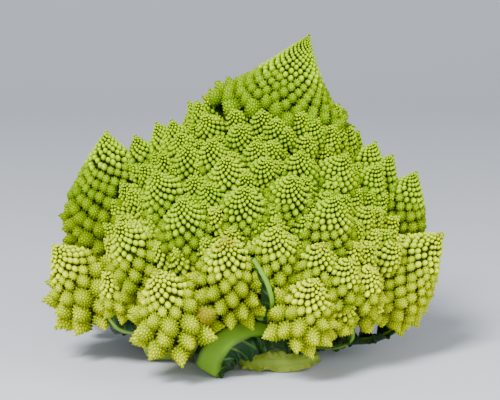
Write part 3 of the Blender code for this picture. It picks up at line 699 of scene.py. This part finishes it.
tints = np.random.default_rng(SEED).normal(0.0, 0.05, len(grown))
bud_tint = np.random.default_rng(SEED + 1).normal(0.0, 0.03, len(owner))
bud_zones = np.clip(zone_of(bud_points[:, 2]) + tints[owner] + bud_tint, 0.0, GREEN_ZONE)
for number, reach in WORN_TIPS:
    near = np.linalg.norm(bud_points - grown[number].tip, axis=1) < reach
    bud_zones[near & (bud_tint > -0.02)] = WORN_ZONE
bud_zones[np.linalg.norm(bud_points - BRUISE_PLACE, axis=1) < BRUISE_REACH] = WORN_ZONE
print("browned buds", int((bud_zones == WORN_ZONE).sum()))

# %% [markdown]
# ## Group the florets into pieces
#
# Each floret is a plain body with a neck towards the middle of the head, and its buds. One
# piece for each floret would be more than a hundred; one piece for the whole head would be too
# heavy to handle. The florets are gathered by sector of the head and by height, each piece with
# under two hundred thousand triangles.

# %% Make the head's pieces
MOST_TRIANGLES = 170000
CROWN_NECK = (0.0, 0.0, 108.0)


def floret_arrays(number):
    """One floret's body and buds."""
    floret = grown[number]
    sides, rings = (28, 22) if floret.flank > 25.0 else (18, 13)
    depth = float(flank_curve(1.0)[1]) * floret.flank
    back = floret.tip - floret.axis * depth * 1.1
    neck = back + (hub_of(floret.tip) - back) * 0.5
    if floret is crown:
        neck = np.array(CROWN_NECK)
    zone = float(np.clip(zone_of(floret.tip[2] - 0.3 * floret.flank) + tints[number],
                         0.0, GREEN_ZONE))
    parts = [body_mesh(floret, sides, rings, zone, neck)]
    mine = owner == number
    low = 0.0
    for limit, pattern, stretch in PATTERNS:
        chosen = mine & (bud_widths > low) & (bud_widths <= limit)
        low = limit
        if chosen.any():
            parts.append(multiplied(pattern, stretch, bud_points[chosen], bud_aims[chosen],
                                    bud_widths[chosen], bud_turns[chosen], bud_zones[chosen],
                                    bud_painted_light[chosen], floret.axis))
    return joined(parts)


order = sorted(range(len(grown)), key=lambda number: (
    round(math.atan2(grown[number].tip[1], grown[number].tip[0]) / (math.pi / 3.0)),
    grown[number].tip[2]))
batches, batch, held = [], [], 0
for number in order:
    arrays = floret_arrays(number)
    if held + len(arrays[1]) > MOST_TRIANGLES:
        batches.append(batch)
        batch, held = [], 0
    batch.append(arrays)
    held += len(arrays[1])
batches.append(batch)
head_pieces = [head_piece(f"florets_{index:02d}", *joined(batch))
               for index, batch in enumerate(batches)]
print("pieces", len(head_pieces))

# %% [markdown]
# ## The finish of the curd
#
# The curd is matt and lime green. Light sinks a little way into it. A painted picture would need
# a map of every bud, so the colour comes from a node group that mixes two ramps, one for the pale
# low florets and one for the green top, by `rise` and `zone`, and browns what lies past the
# greenest zone. Along `rise` each ramp runs from a near black in the crevices, painted shade, to
# a bright lime on the open bud tops, a painted highlight; its dark end is also greener.
# A fine grain on top stands for the buds that are too small to model. The leaves and the stalk
# use the same grain with their own values.

# %% Node groups
BROWN = (0.34, 0.22, 0.02, 1.0)
# The mix node's colour sockets share their names with its others, so they go by number
MIX_FIRST, MIX_SECOND, MIXED = 6, 7, 2


def new_group(name, inputs, outputs):
    """An empty shader node group with its sockets."""
    group = bpy.data.node_groups.new(name, "ShaderNodeTree")
    for label, kind, value in inputs:
        socket = group.interface.new_socket(label, in_out="INPUT", socket_type=kind)
        socket.default_value = value
    for label, kind in outputs:
        group.interface.new_socket(label, in_out="OUTPUT", socket_type=kind)
    return group, group.nodes.new("NodeGroupInput"), group.nodes.new("NodeGroupOutput")


def ramp_node(tree, stops):
    """A colour ramp with its stops."""
    node = tree.nodes.new("ShaderNodeValToRGB")
    ramp = node.color_ramp
    while len(ramp.elements) < len(stops):
        ramp.elements.new(0.5)
    for element, (place, colour) in zip(ramp.elements, stops):
        element.position = place
        element.color = (*colour, 1.0)
    return node


def colour_mix(tree):
    """A node that mixes two colours."""
    node = tree.nodes.new("ShaderNodeMix")
    node.data_type = "RGBA"
    return node


def curd_colour_and_shade_group():
    """Colour of the curd from a point's painted shading and zone; the last zones are browned."""
    group, entry, leave = new_group(
        "curd colour and shade",
        [("Painted Shading", "NodeSocketFloat", 0.5), ("Zone", "NodeSocketFloat", 0.5)],
        [("Color", "NodeSocketColor")])
    # Each ramp: painted shade in the crevices up to a painted highlight on the bud tops
    low = ramp_node(group, [(0.0, (0.015, 0.026, 0.0)), (0.3, (0.15, 0.20, 0.0)),
                            (0.65, (0.52, 0.59, 0.0)), (1.0, (0.90, 0.93, 0.01))])
    high = ramp_node(group, [(0.0, (0.003, 0.010, 0.0)), (0.3, (0.048, 0.105, 0.0)),
                             (0.65, (0.17, 0.305, 0.0)), (1.0, (0.39, 0.58, 0.0))])
    mix = colour_mix(group)
    links = group.links
    links.new(entry.outputs["Painted Shading"], low.inputs["Fac"])
    links.new(entry.outputs["Painted Shading"], high.inputs["Fac"])
    height = group.nodes.new("ShaderNodeMapRange")
    height.inputs["From Max"].default_value = GREEN_ZONE
    worn = group.nodes.new("ShaderNodeMapRange")
    worn.inputs["From Min"].default_value = 0.92
    worn.inputs["To Max"].default_value = 0.6
    brown = colour_mix(group)
    brown.inputs[MIX_SECOND].default_value = BROWN
    links.new(entry.outputs["Zone"], height.inputs["Value"])
    links.new(entry.outputs["Zone"], worn.inputs["Value"])
    links.new(height.outputs["Result"], mix.inputs["Factor"])
    links.new(low.outputs["Color"], mix.inputs[MIX_FIRST])
    links.new(high.outputs["Color"], mix.inputs[MIX_SECOND])
    links.new(worn.outputs["Result"], brown.inputs["Factor"])
    links.new(mix.outputs[MIXED], brown.inputs[MIX_FIRST])
    links.new(brown.outputs[MIXED], leave.inputs["Color"])
    return group


def fine_grain_group():
    """A bump for cells and small pits, for any part of the plant."""
    group, entry, leave = new_group(
        "fine grain",
        [("Scale", "NodeSocketFloat", 900.0), ("Depth", "NodeSocketFloat", 0.3)],
        [("Normal", "NodeSocketVector")])
    where = group.nodes.new("ShaderNodeTexCoord")
    cells = group.nodes.new("ShaderNodeTexVoronoi")
    bump = group.nodes.new("ShaderNodeBump")
    bump.inputs["Distance"].default_value = 0.0003
    links = group.links
    links.new(where.outputs["Object"], cells.inputs["Vector"])
    links.new(entry.outputs["Scale"], cells.inputs["Scale"])
    links.new(cells.outputs["Distance"], bump.inputs["Height"])
    links.new(entry.outputs["Depth"], bump.inputs["Strength"])
    links.new(bump.outputs["Normal"], leave.inputs["Normal"])
    return group


curd_colour_and_shade = curd_colour_and_shade_group()
fine_grain = fine_grain_group()
print("groups", [group.name for group in bpy.data.node_groups])

# %% Curd material


def placed_group(tree, group, values):
    """A group node with its values."""
    node = tree.nodes.new("ShaderNodeGroup")
    node.node_tree = group
    for label, value in values.items():
        node.inputs[label].default_value = value
    return node


def attribute_node(tree, label):
    """A point attribute."""
    node = tree.nodes.new("ShaderNodeAttribute")
    node.attribute_name = label
    return node


def new_material(name, roughness):
    """A material with its node tree and its shader."""
    material = bpy.data.materials.new(name)
    material.use_nodes = True
    shader = material.node_tree.nodes["Principled BSDF"]
    shader.inputs["Roughness"].default_value = roughness
    return material, material.node_tree, shader


def curd_material():
    """Matt, slightly translucent curd."""
    material, tree, shader = new_material("curd", 0.52)
    shader.inputs["Specular IOR Level"].default_value = 0.0
    shader.inputs["Subsurface Weight"].default_value = 0.06
    shader.inputs["Subsurface Scale"].default_value = 0.002
    shader.inputs["Subsurface Radius"].default_value = (0.9, 1.0, 0.25)
    colour = placed_group(tree, curd_colour_and_shade, {})
    grain = placed_group(tree, fine_grain, {"Scale": 1500.0, "Depth": 0.35})
    tree.links.new(attribute_node(tree, "rise").outputs["Fac"], colour.inputs["Painted Shading"])
    tree.links.new(attribute_node(tree, "zone").outputs["Fac"], colour.inputs["Zone"])
    tree.links.new(colour.outputs["Color"], shader.inputs["Base Color"])
    tree.links.new(grain.outputs["Normal"], shader.inputs["Normal"])
    return material


curd = curd_material()
for piece in head_pieces:
    piece.data.materials.append(curd)
    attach(piece, "root")
    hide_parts("head")
print("curd on", len(head_pieces), "pieces")

# %% [markdown]
# ## The leaves' own measures
#
# Ten leaves were left on when the head was trimmed. Each follows a spine from its foot outward.
# It also has the direction its outer face looks at foot and end, the blade's width on the left
# and the right of the rib from foot to end, the rib's half width and half height at foot and
# end, how far the edges bend back, and the height and number of the waves along them. The last
# number says how yellow the blade is, from dark green 0 to yellow-green 1.

# %% Measures of the leaves
BLADE_THICKNESS = 1.3
BLADE_STATIONS = 12
FLOOR_CLEARANCE = 0.3
LEAVES = {
    "leaf_front": dict(
        spine=((-21.5, -58.0, 3.5), (-18.5, -61.0, 12.0), (-12.0, -63.0, 20.0), (-4.0, -63.0, 24.3),
               (5.0, -60.0, 25.0), (14.0, -55.0, 22.5), (25.0, -48.0, 18.0)),
        faces=((-0.25, -0.85, 0.45), (0.1, -0.8, 0.6)),
        widths=((14.0, 9.0), (10.0, 13.0), (5.6, 14.0), (4.5, 13.0), (4.0, 11.0), (3.5, 8.0)),
        rib=((6.6, 3.0), (2.0, 1.4)), bend=4.0, waves=(2.4, 6), tone=0.12),
    "leaf_left_trimmed": dict(
        spine=((-20.0, -30.0, 7.0), (-30.0, -27.0, 6.5), (-42.0, -25.0, 6.0), (-53.0, -23.0, 5.5)),
        faces=((0.0, -0.5, -0.85), (0.0, -0.5, -0.85)),
        widths=((9.0, 9.0), (11.0, 11.0), (11.0, 11.0)), rib=((8.0, 3.2), (8.0, 3.2)),
        bend=3.0, waves=(0.5, 2), tone=0.9),
    "leaf_right_low": dict(
        spine=((-8.0, -37.0, 6.5), (0.0, -44.0, 6.0), (12.0, -47.0, 5.6), (24.0, -45.5, 5.4),
               (35.0, -41.0, 7.0)),
        faces=((0.0, -0.95, 0.1), (0.2, -0.9, 0.1)),
        widths=((5.0, 5.0), (6.0, 5.0), (5.5, 5.0), (2.0, 2.0)), rib=((1.8, 0.9), (0.9, 0.7)),
        bend=2.0, waves=(1.6, 5), tone=0.85),
    "leaf_right": dict(
        spine=((24.0, -17.0, 9.0), (36.0, -21.0, 8.5), (46.0, -25.0, 9.5), (52.0, -28.0, 14.0),
               (52.0, -29.0, 20.5)),
        faces=((0.2, -0.4, -0.9), (0.9, -0.5, 0.1)),
        widths=((6.0, 6.0), (7.0, 7.0), (4.0, 5.0)), rib=((3.0, 1.7), (1.3, 0.9)),
        bend=2.5, waves=(1.4, 4), tone=0.5),
    "leaf_small": dict(
        spine=((5.0, -62.0, 32.0), (8.5, -76.0, 35.0), (10.5, -86.0, 43.0), (8.0, -91.0, 54.0),
               (1.5, -93.5, 66.0)),
        faces=((0.5, -0.7, 0.4), (0.4, -0.9, 0.1)),
        widths=((5.0, 3.0), (5.5, 2.2), (1.0, 1.0)), rib=((1.9, 1.2), (0.8, 0.7)),
        bend=-1.5, waves=(0.7, 3), tone=0.05),
    "leaf_left": dict(
        spine=((-25.0, -15.0, 17.0), (-40.0, -26.0, 18.0), (-56.0, -37.0, 19.0), (-66.0, -43.0, 22.0),
               (-71.0, -46.0, 28.0)),
        faces=((-0.2, -0.4, -0.9), (-0.7, -0.7, 0.0)),
        widths=((7.0, 7.0), (10.0, 10.0), (6.0, 6.0)), rib=((2.8, 1.5), (1.2, 0.9)),
        bend=3.0, waves=(1.8, 4), tone=0.1),
    "leaf_right_far": dict(
        spine=((30.0, -1.0, 8.0), (45.0, -3.0, 7.5), (62.0, -9.0, 9.0), (74.0, -16.0, 15.0),
               (79.0, -19.0, 22.0)),
        faces=((0.2, 0.0, -1.0), (0.9, -0.3, -0.2)),
        widths=((8.0, 8.0), (12.0, 12.0), (5.0, 6.0)), rib=((2.8, 1.5), (1.2, 0.9)),
        bend=3.0, waves=(1.8, 5), tone=0.15),
    "leaf_left_tall": dict(
        spine=((-26.0, 17.0, 8.0), (-50.0, 33.0, 7.5), (-76.0, 48.0, 18.0), (-89.0, 56.0, 42.0),
               (-86.0, 57.0, 71.0)),
        faces=((-0.2, 0.1, -1.0), (-0.8, 0.6, 0.1)),
        widths=((9.0, 9.0), (17.0, 17.0), (5.0, 5.0)), rib=((6.0, 3.0), (1.6, 1.2)),
        bend=-4.0, waves=(2.0, 6), tone=0.15),
    "leaf_back_left": dict(
        spine=((-10.0, 29.0, 8.0), (-18.0, 48.0, 7.0), (-28.0, 72.0, 8.0), (-36.0, 92.0, 20.0),
               (-38.0, 99.0, 36.0)),
        faces=((0.0, 0.1, -1.0), (-0.4, 0.9, -0.1)),
        widths=((9.0, 9.0), (16.0, 16.0), (7.0, 8.0)), rib=((6.0, 3.0), (2.0, 1.4)),
        bend=-3.0, waves=(2.2, 6), tone=0.4),
    "leaf_back_right": dict(
        spine=((16.0, 26.0, 8.0), (30.0, 44.0, 7.0), (46.0, 66.0, 8.0), (58.0, 82.0, 18.0),
               (62.0, 86.0, 32.0)),
        faces=((0.0, 0.1, -1.0), (0.6, 0.8, -0.1)),
        widths=((9.0, 9.0), (15.0, 15.0), (7.0, 6.0)), rib=((6.0, 3.0), (2.0, 1.4)),
        bend=-3.0, waves=(2.2, 6), tone=0.3),
}
print("leaves", len(LEAVES))

# %% [markdown]
# ## How a leaf is made
#
# A cauliflower leaf is a thick, round, pale rib with a thin dark blade on either side. Side
# veins run out from the rib, and between them the blade is quilted. The blade is made as one
# sheet with many stations and columns, then given its thickness. Every point also remembers how
# close it is to a rib or vein, because those are pale.

# %% Leaf form
LEAF_ROWS = 84
RIB_COLUMNS = 6
BLADE_COLUMNS = 16
VEINS = 8.0


def along(values, shares):
    """Values between the first and the last of a list, at shares of the way."""
    rows = np.array(values, dtype=float)
    places = np.linspace(0.0, 1.0, len(rows))
    if rows.ndim == 1:
        return np.interp(shares, places, rows)
    return np.stack([np.interp(shares, places, rows[:, column]) for column in range(rows.shape[1])],
                    axis=-1)


def smooth_spine(points, count):
    """Points evenly along a smooth curve through the spine's own points."""
    points = np.array(points)
    ends = np.vstack((2 * points[0] - points[1], points, 2 * points[-1] - points[-2]))
    fine = []
    for start in range(len(points) - 1):
        before, here, after, beyond = ends[start:start + 4]
        for t in np.linspace(0.0, 1.0, 24, endpoint=False):
            fine.append(0.5 * (2 * here + (after - before) * t
                               + (2 * before - 5 * here + 4 * after - beyond) * t * t
                               + (3 * here - before - 3 * after + beyond) * t ** 3))
    fine.append(points[-1])
    fine = np.array(fine)
    travelled = np.concatenate(([0.0], np.cumsum(np.linalg.norm(np.diff(fine, axis=0), axis=1))))
    wanted = np.linspace(0.0, travelled[-1], count)
    return np.stack([np.interp(wanted, travelled, fine[:, axis]) for axis in range(3)], axis=1)


def unit_rows(vectors):
    """Each vector scaled to length one."""
    return vectors / np.linalg.norm(vectors, axis=-1, keepdims=True)


def leaf_frames(leaf):
    """Place, sideways direction and outer direction at every station."""
    spine = smooth_spine(leaf["spine"], LEAF_ROWS)
    forward = unit_rows(np.gradient(spine, axis=0))
    outer = along(leaf["faces"], np.linspace(0.0, 1.0, LEAF_ROWS))
    outer = unit_rows(outer - forward * np.sum(outer * forward, axis=1, keepdims=True))
    return spine, np.cross(forward, outer), outer


def torn_edges(name, shares):
    """How far the blade reaches on either side, as a share of its width, with notches."""
    chance = random.Random(name)
    tears = [(chance.uniform(0.82, 1.05), chance.uniform(0.82, 1.05)) for _ in range(BLADE_STATIONS)]
    both = []
    for side in (1, 0):
        edge = along([tear[side] for tear in tears], shares)
        seed = chance.uniform(0.0, 50.0)
        ripple = [noise.noise((share * 14.0, seed, 0.0)) for share in shares]
        notch = [max(0.0, noise.noise((share * 6.0, seed, 9.0)) - 0.25) for share in shares]
        both.append(edge + 0.10 * np.array(ripple) - 0.8 * np.array(notch))
    return both


def leaf_sheet(name, leaf):
    """Points, thickness, relief and paleness of a leaf's sheet, station by station."""
    spine, sideways, outer = leaf_frames(leaf)
    shares = np.linspace(0.0, 1.0, LEAF_ROWS)
    widths = along(leaf["widths"], shares)
    ribs = along(leaf["rib"], shares)
    height, count = leaf["waves"]
    inner = np.linspace(0.0, 1.0, RIB_COLUMNS, endpoint=False)
    blade = np.linspace(0.0, 1.0, BLADE_COLUMNS) ** 0.85
    columns = []
    for side, reach in zip((-1.0, 1.0), torn_edges(name, shares)):
        half_rib = ribs[:, 0]
        width = np.maximum(widths[:, 0 if side < 0 else 1] * reach, half_rib * 1.15)
        offsets = np.hstack((half_rib[:, None] * inner,
                             half_rib[:, None] + (width - half_rib)[:, None] * blade))
        edge = np.maximum(0.0, (offsets - half_rib[:, None]) / (width - half_rib + 0.1)[:, None])
        phase = 2.0 * math.pi * count * shares[:, None] + (1.3 if side > 0 else 0.0)
        lift = height * edge ** 1.5 * np.sin(phase) - leaf["bend"] * edge ** 2 * width[:, None] / 12.0
        lift += 0.55 * height * edge ** 2 * np.sin(2.7 * phase + 0.8)
        round_rib = np.clip(1.0 - (offsets / (half_rib[:, None] * 1.1)) ** 2, 0.0, 1.0) ** 0.5
        branch = (shares[:, None] - 0.10 * edge + (0.5 / VEINS if side > 0 else 0.0)) * VEINS
        from_vein = np.abs(branch - np.round(branch)) / VEINS
        thickness = 0.022 * (1.0 - 0.55 * edge)
        vein = np.exp(-(from_vein / (0.35 * thickness)) ** 2) * np.clip(1.15 - edge, 0.0, 1.0)
        vein *= edge > 0.0
        relief = 1.35 * ribs[:, 1:2] * round_rib + 0.4 * vein
        quilt = np.sin(np.pi * np.clip(from_vein * VEINS * 2.0, 0.0, 1.0)) * edge * (1.0 - edge)
        lift -= 1.3 * quilt
        pale = np.clip(np.maximum(1.25 * round_rib, 0.4 * vein), 0.0, 1.0)
        pale *= float(np.interp(leaf["tone"], (0.5, 0.9), (1.0, 0.15)))
        place = (spine[:, None, :] + sideways[:, None, :] * (side * offsets)[:, :, None]
                 + outer[:, None, :] * lift[:, :, None])
        columns.append((place, relief, pale, edge))
    left, right = columns
    return [np.concatenate((one[:, :0:-1], other), axis=1) for one, other in zip(left, right)]


def crumpled(points, amount):
    """Points moved by a soft noise, for the small folds of a blade."""
    moved = [Vector(point) + noise.noise_vector(Vector(point) * 0.13) * share
             for point, share in zip(points.reshape(-1, 3).tolist(), amount.ravel().tolist())]
    return np.array(moved).reshape(points.shape)


def sheet_faces(rows, columns):
    """Triangles of a closed sheet: its front, its back and the rim between them."""
    grid = np.arange(rows * columns).reshape(rows, columns)
    a, b = grid[:-1, :-1].ravel(), grid[:-1, 1:].ravel()
    c, d = grid[1:, 1:].ravel(), grid[1:, :-1].ravel()
    front = np.vstack((np.stack((a, b, c), 1), np.stack((a, c, d), 1)))
    rim = np.concatenate((grid[0], grid[1:, -1], grid[-1, -2::-1], grid[-2:0:-1, 0]))
    after = np.roll(rim, -1)
    back = rows * columns
    edge = np.vstack((np.stack((after, rim, back + rim), 1),
                      np.stack((after, back + rim, back + after), 1)))
    return np.vstack((front, front[:, ::-1] + back, edge))


def plant_mesh(name, points, tris, layers):
    """A smooth mesh in metres with its point attributes."""
    mesh = bpy.data.meshes.new(name)
    mesh.from_pydata((points * MM).tolist(), [], tris.tolist())
    mesh.shade_smooth()
    add_layers(mesh, layers)
    return linked(name, mesh)


def leaf_piece(name, leaf):
    """One leaf as a closed sheet."""
    sheet, relief, pale, edge = leaf_sheet(name, leaf)
    sheet = crumpled(sheet, 3.0 * edge)
    normal = unit_rows(np.cross(np.gradient(sheet, axis=0), np.gradient(sheet, axis=1)))
    thin = BLADE_THICKNESS / 2.0 * (1.0 - 0.45 * edge)[:, :, None]
    front = sheet + normal * (thin + relief[:, :, None])
    back = sheet - normal * (thin + 0.3 * relief[:, :, None])
    points = np.vstack((front.reshape(-1, 3), back.reshape(-1, 3)))
    points[:, 2] = np.maximum(points[:, 2], FLOOR_CLEARANCE)
    layers = {"pale": np.tile(pale.ravel(), 2), "tone": np.full(2 * pale.size, leaf["tone"])}
    return plant_mesh(name + "_blade", points, sheet_faces(*sheet.shape[:2]), layers)


# Blender's vector noise takes its offsets from the clock until it is given a seed
noise.seed_set(SEED)
leaf_pieces = {name: leaf_piece(name, leaf) for name, leaf in LEAVES.items()}
print("leaf triangles", sum(len(piece.data.polygons) for piece in leaf_pieces.values()))

# %% [markdown]
# ## The finish of the leaves
#
# The blade is a dark green with a faint shine of wax, and the rib and the veins are a paler,
# yellower green. A soft noise makes patches of it lighter or darker, as on an old leaf. One
# material serves all ten leaves: how pale and how yellow a point is comes with the mesh.

# %% Leaf material


def leaf_colour_group():
    """Colour of a leaf from its paleness and tone."""
    group, entry, leave = new_group(
        "leaf colour",
        [("Pale", "NodeSocketFloat", 0.0), ("Tone", "NodeSocketFloat", 0.5)],
        [("Color", "NodeSocketColor")])
    blade = ramp_node(group, [(0.0, (0.002, 0.013, 0.003)), (0.5, (0.011, 0.048, 0.004)),
                              (1.0, (0.24, 0.31, 0.030))])
    where = group.nodes.new("ShaderNodeTexCoord")
    patches = group.nodes.new("ShaderNodeTexNoise")
    patches.inputs["Scale"].default_value = 90.0
    patches.inputs["Detail"].default_value = 4.0
    vary = group.nodes.new("ShaderNodeMath")
    vary.operation = "MULTIPLY_ADD"
    vary.inputs[1].default_value = 0.5
    shift = group.nodes.new("ShaderNodeMath")
    shift.operation = "SUBTRACT"
    shift.inputs[1].default_value = 0.25
    mix = colour_mix(group)
    mix.inputs[MIX_SECOND].default_value = (0.14, 0.28, 0.018, 1.0)
    links = group.links
    links.new(where.outputs["Object"], patches.inputs["Vector"])
    links.new(patches.outputs["Fac"], vary.inputs[0])
    links.new(entry.outputs["Tone"], vary.inputs[2])
    links.new(vary.outputs[0], shift.inputs[0])
    links.new(shift.outputs[0], blade.inputs["Fac"])
    links.new(entry.outputs["Pale"], mix.inputs["Factor"])
    links.new(blade.outputs["Color"], mix.inputs[MIX_FIRST])
    links.new(mix.outputs[MIXED], leave.inputs["Color"])
    return group


def leaf_material():
    """A slightly waxy leaf."""
    material, tree, shader = new_material("leaf", 0.45)
    shader.inputs["Specular IOR Level"].default_value = 0.12
    colour = placed_group(tree, leaf_colour, {})
    grain = placed_group(tree, fine_grain, {"Scale": 700.0, "Depth": 0.25})
    for label, socket in (("pale", "Pale"), ("tone", "Tone")):
        tree.links.new(attribute_node(tree, label).outputs["Fac"], colour.inputs[socket])
    tree.links.new(colour.outputs["Color"], shader.inputs["Base Color"])
    tree.links.new(grain.outputs["Normal"], shader.inputs["Normal"])
    return material


leaf_colour = leaf_colour_group()
leaf_finish = leaf_material()
for name, piece in leaf_pieces.items():
    piece.data.materials.append(leaf_finish)
    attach(piece, "root")
    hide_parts(name)
print("leaf finish on", len(leaf_pieces), "pieces")

# %% [markdown]
# ## The stalk and the core
#
# Under the head is the stem, cut flat. The cut shows a pale, moist middle with a fibrous ring
# under the skin. Above it the branches spread out, and a plain core closes the middle so that
# no light falls through between the florets. The core is painted near black, as painted shade.

# %% Stalk and core
STALK_RADIUS = 23.0
STALK_TOP = 21.4
STALK_SIDES = 96
CORE_SIDES = 48
CORE_DEPTH = ((168.0, 15.0), (145.0, 14.0), (124.0, 17.0), (103.0, 22.0), (61.0, 29.0))
CORE_UNDERSIDE = ((40.0, 56.0), (29.0, 40.0), (22.0, 27.0))


def turned_faces(rings, sides):
    """Triangles between rings of points, with a closing point at either end."""
    grid = np.arange(rings * sides).reshape(rings, sides)
    after = np.roll(grid, -1, axis=1)
    a, b, c, d = grid[:-1].ravel(), after[:-1].ravel(), after[1:].ravel(), grid[1:].ravel()
    low, high = rings * sides, rings * sides + 1
    return np.vstack((np.stack((a, b, c), 1), np.stack((a, c, d), 1),
                      np.stack((after[0], grid[0], np.full(sides, low)), 1),
                      np.stack((grid[-1], after[-1], np.full(sides, high)), 1)))


def stalk_piece():
    """The short thick stem with its flat cut."""
    headings = 2.0 * math.pi * np.arange(STALK_SIDES) / STALK_SIDES
    wave = 1.0 + 0.05 * np.cos(5.0 * headings) + 0.02 * np.cos(3.0 * headings + 1.0)
    rows = [(0.0, 0.35), (0.0, 0.7), (0.0, 0.93), (0.25, 0.985), (0.8, 1.0), (1.5, 1.04)]
    rows += [(height, 1.04 - 0.03 * math.sin(math.pi * height / STALK_TOP))
             for height in (4.0, 7.0, 10.0, 13.0, 16.0, 19.0, STALK_TOP)]
    points, skin = [], []
    for height, swell in rows:
        groove = 1.0 + 0.012 * np.cos(23.0 * headings + height * 0.2) * (height > 1.0)
        radius = STALK_RADIUS * swell * wave * groove
        points += [(r * math.cos(h), r * math.sin(h), height) for r, h in zip(radius, headings)]
        skin += [0.0 if swell < 0.9 else 1.0] * STALK_SIDES
    points += [(0.0, 0.0, 0.0), (0.0, 0.0, STALK_TOP)]
    skin += [0.0, 1.0]
    return plant_mesh("stalk_stem", np.array(points), turned_faces(len(rows), STALK_SIDES),
                      {"skin": skin})


def core_arrays():
    """The points, triangles, painted shading and zones of the body between the florets' branches."""
    depths = [row[0] for row in CORE_DEPTH][::-1]
    rows = [(height, 0.0, radius) for height, radius in CORE_UNDERSIDE[::-1]]
    for height, middle, radius in HEAD_PROFILE[8:1:-1]:
        inner = radius - np.interp(height, depths, [row[1] for row in CORE_DEPTH][::-1])
        rows.append((height - 3.0, middle, inner))
    points = []
    for height, middle, radius in rows:
        for side in range(CORE_SIDES):
            heading = 2.0 * math.pi * side / CORE_SIDES
            points.append((middle + radius * math.cos(heading), radius * math.sin(heading), height))
    points += [(0.0, 0.0, rows[0][0]), (rows[-1][1], 0.0, rows[-1][0])]
    count = len(points)
    # Its rise is near black: painted shade between the florets
    return (np.array(points), turned_faces(len(rows), CORE_SIDES), np.full(count, 0.02),
            np.clip(zone_of(np.array(points)[:, 2]), 0.0, 1.0))


def stalk_material():
    """A stem with a pale, moist cut and a green skin, darkened as painted shade."""
    material, tree, shader = new_material("stalk", 0.5)
    # The skin's green at 1.0 is darkened as painted shade under the head
    colour = ramp_node(tree, [(0.0, (0.66, 0.70, 0.42)), (0.8, (0.58, 0.64, 0.30)),
                              (1.0, (0.14, 0.22, 0.06))])
    grain = placed_group(tree, fine_grain, {"Scale": 900.0, "Depth": 0.4})
    tree.links.new(attribute_node(tree, "skin").outputs["Fac"], colour.inputs["Fac"])
    tree.links.new(colour.outputs["Color"], shader.inputs["Base Color"])
    tree.links.new(grain.outputs["Normal"], shader.inputs["Normal"])
    return material


stem = stalk_piece()
stem.data.materials.append(stalk_material())
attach(stem, "root")
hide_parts("stalk")
core = head_piece("head_core", *core_arrays())
core.data.materials.append(curd)
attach(core, "root")
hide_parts("head")
print("stem and core made")

# %% [markdown]
# ## Floor, light and camera
#
# A pale floor, a soft key light from in front, above and a little to the left, and two weaker
# ones that open the shadows, as in a small studio. The camera stands far off with a long lens,
# a little above level, so that the head keeps its proportions.

# %% Stage


def stage_floor():
    """A pale floor that curves up behind."""
    rows = [(-1.5, 0.0), (1.2, 0.0), (1.8, 0.12), (2.2, 0.5), (2.35, 1.2), (2.4, 3.0)]
    points = [(x, y, z) for y, z in rows for x in (-3.0, 3.0)]
    faces = [(2 * row, 2 * row + 1, 2 * row + 3, 2 * row + 2) for row in range(len(rows) - 1)]
    mesh = bpy.data.meshes.new("floor")
    mesh.from_pydata(points, [], faces)
    mesh.shade_smooth()
    material, _, shader = new_material("floor", 0.6)
    shader.inputs["Base Color"].default_value = (0.62, 0.65, 0.70, 1.0)
    mesh.materials.append(material)
    floor = linked("floor", mesh)


def soft_light(name, place, aim, size, power):
    """A square area light that looks at a point."""
    data = bpy.data.lights.new(name, "AREA")
    data.size = size
    data.energy = power
    light = linked(name, data)
    light.location = place
    light.rotation_euler = (Vector(aim) - Vector(place)).to_track_quat("-Z", "Y").to_euler()


def set_camera(distance, width, aim_height):
    """A long lens at the view's tilt, framing this width at the head."""
    data = bpy.data.cameras.new("camera")
    data.lens = data.sensor_width * distance / width
    camera = linked("camera", data)
    aim = Vector((0.0, 0.0, aim_height))
    camera.location = aim + distance * Vector((0.0, -math.cos(VIEW_TILT), math.sin(VIEW_TILT)))
    camera.rotation_euler = (aim - camera.location).to_track_quat("-Z", "Y").to_euler()
    bpy.context.scene.camera = camera


stage_floor()
soft_light("key", (-0.5, -1.4, 1.2), (0.0, 0.0, 0.08), 0.5, 78.0)
soft_light("fill", (1.3, -1.1, 0.7), (0.0, 0.0, 0.08), 1.0, 18.0)
soft_light("front", (0.0, -1.7, 0.25), (0.0, 0.0, 0.05), 1.0, 26.0)
world = bpy.data.worlds.new("studio")
world.use_nodes = True
background = world.node_tree.nodes["Background"]
background.inputs["Color"].default_value = (0.75, 0.80, 0.88, 1.0)
background.inputs["Strength"].default_value = 0.32
bpy.context.scene.world = world
set_camera(1.44, 0.26, 0.0819)
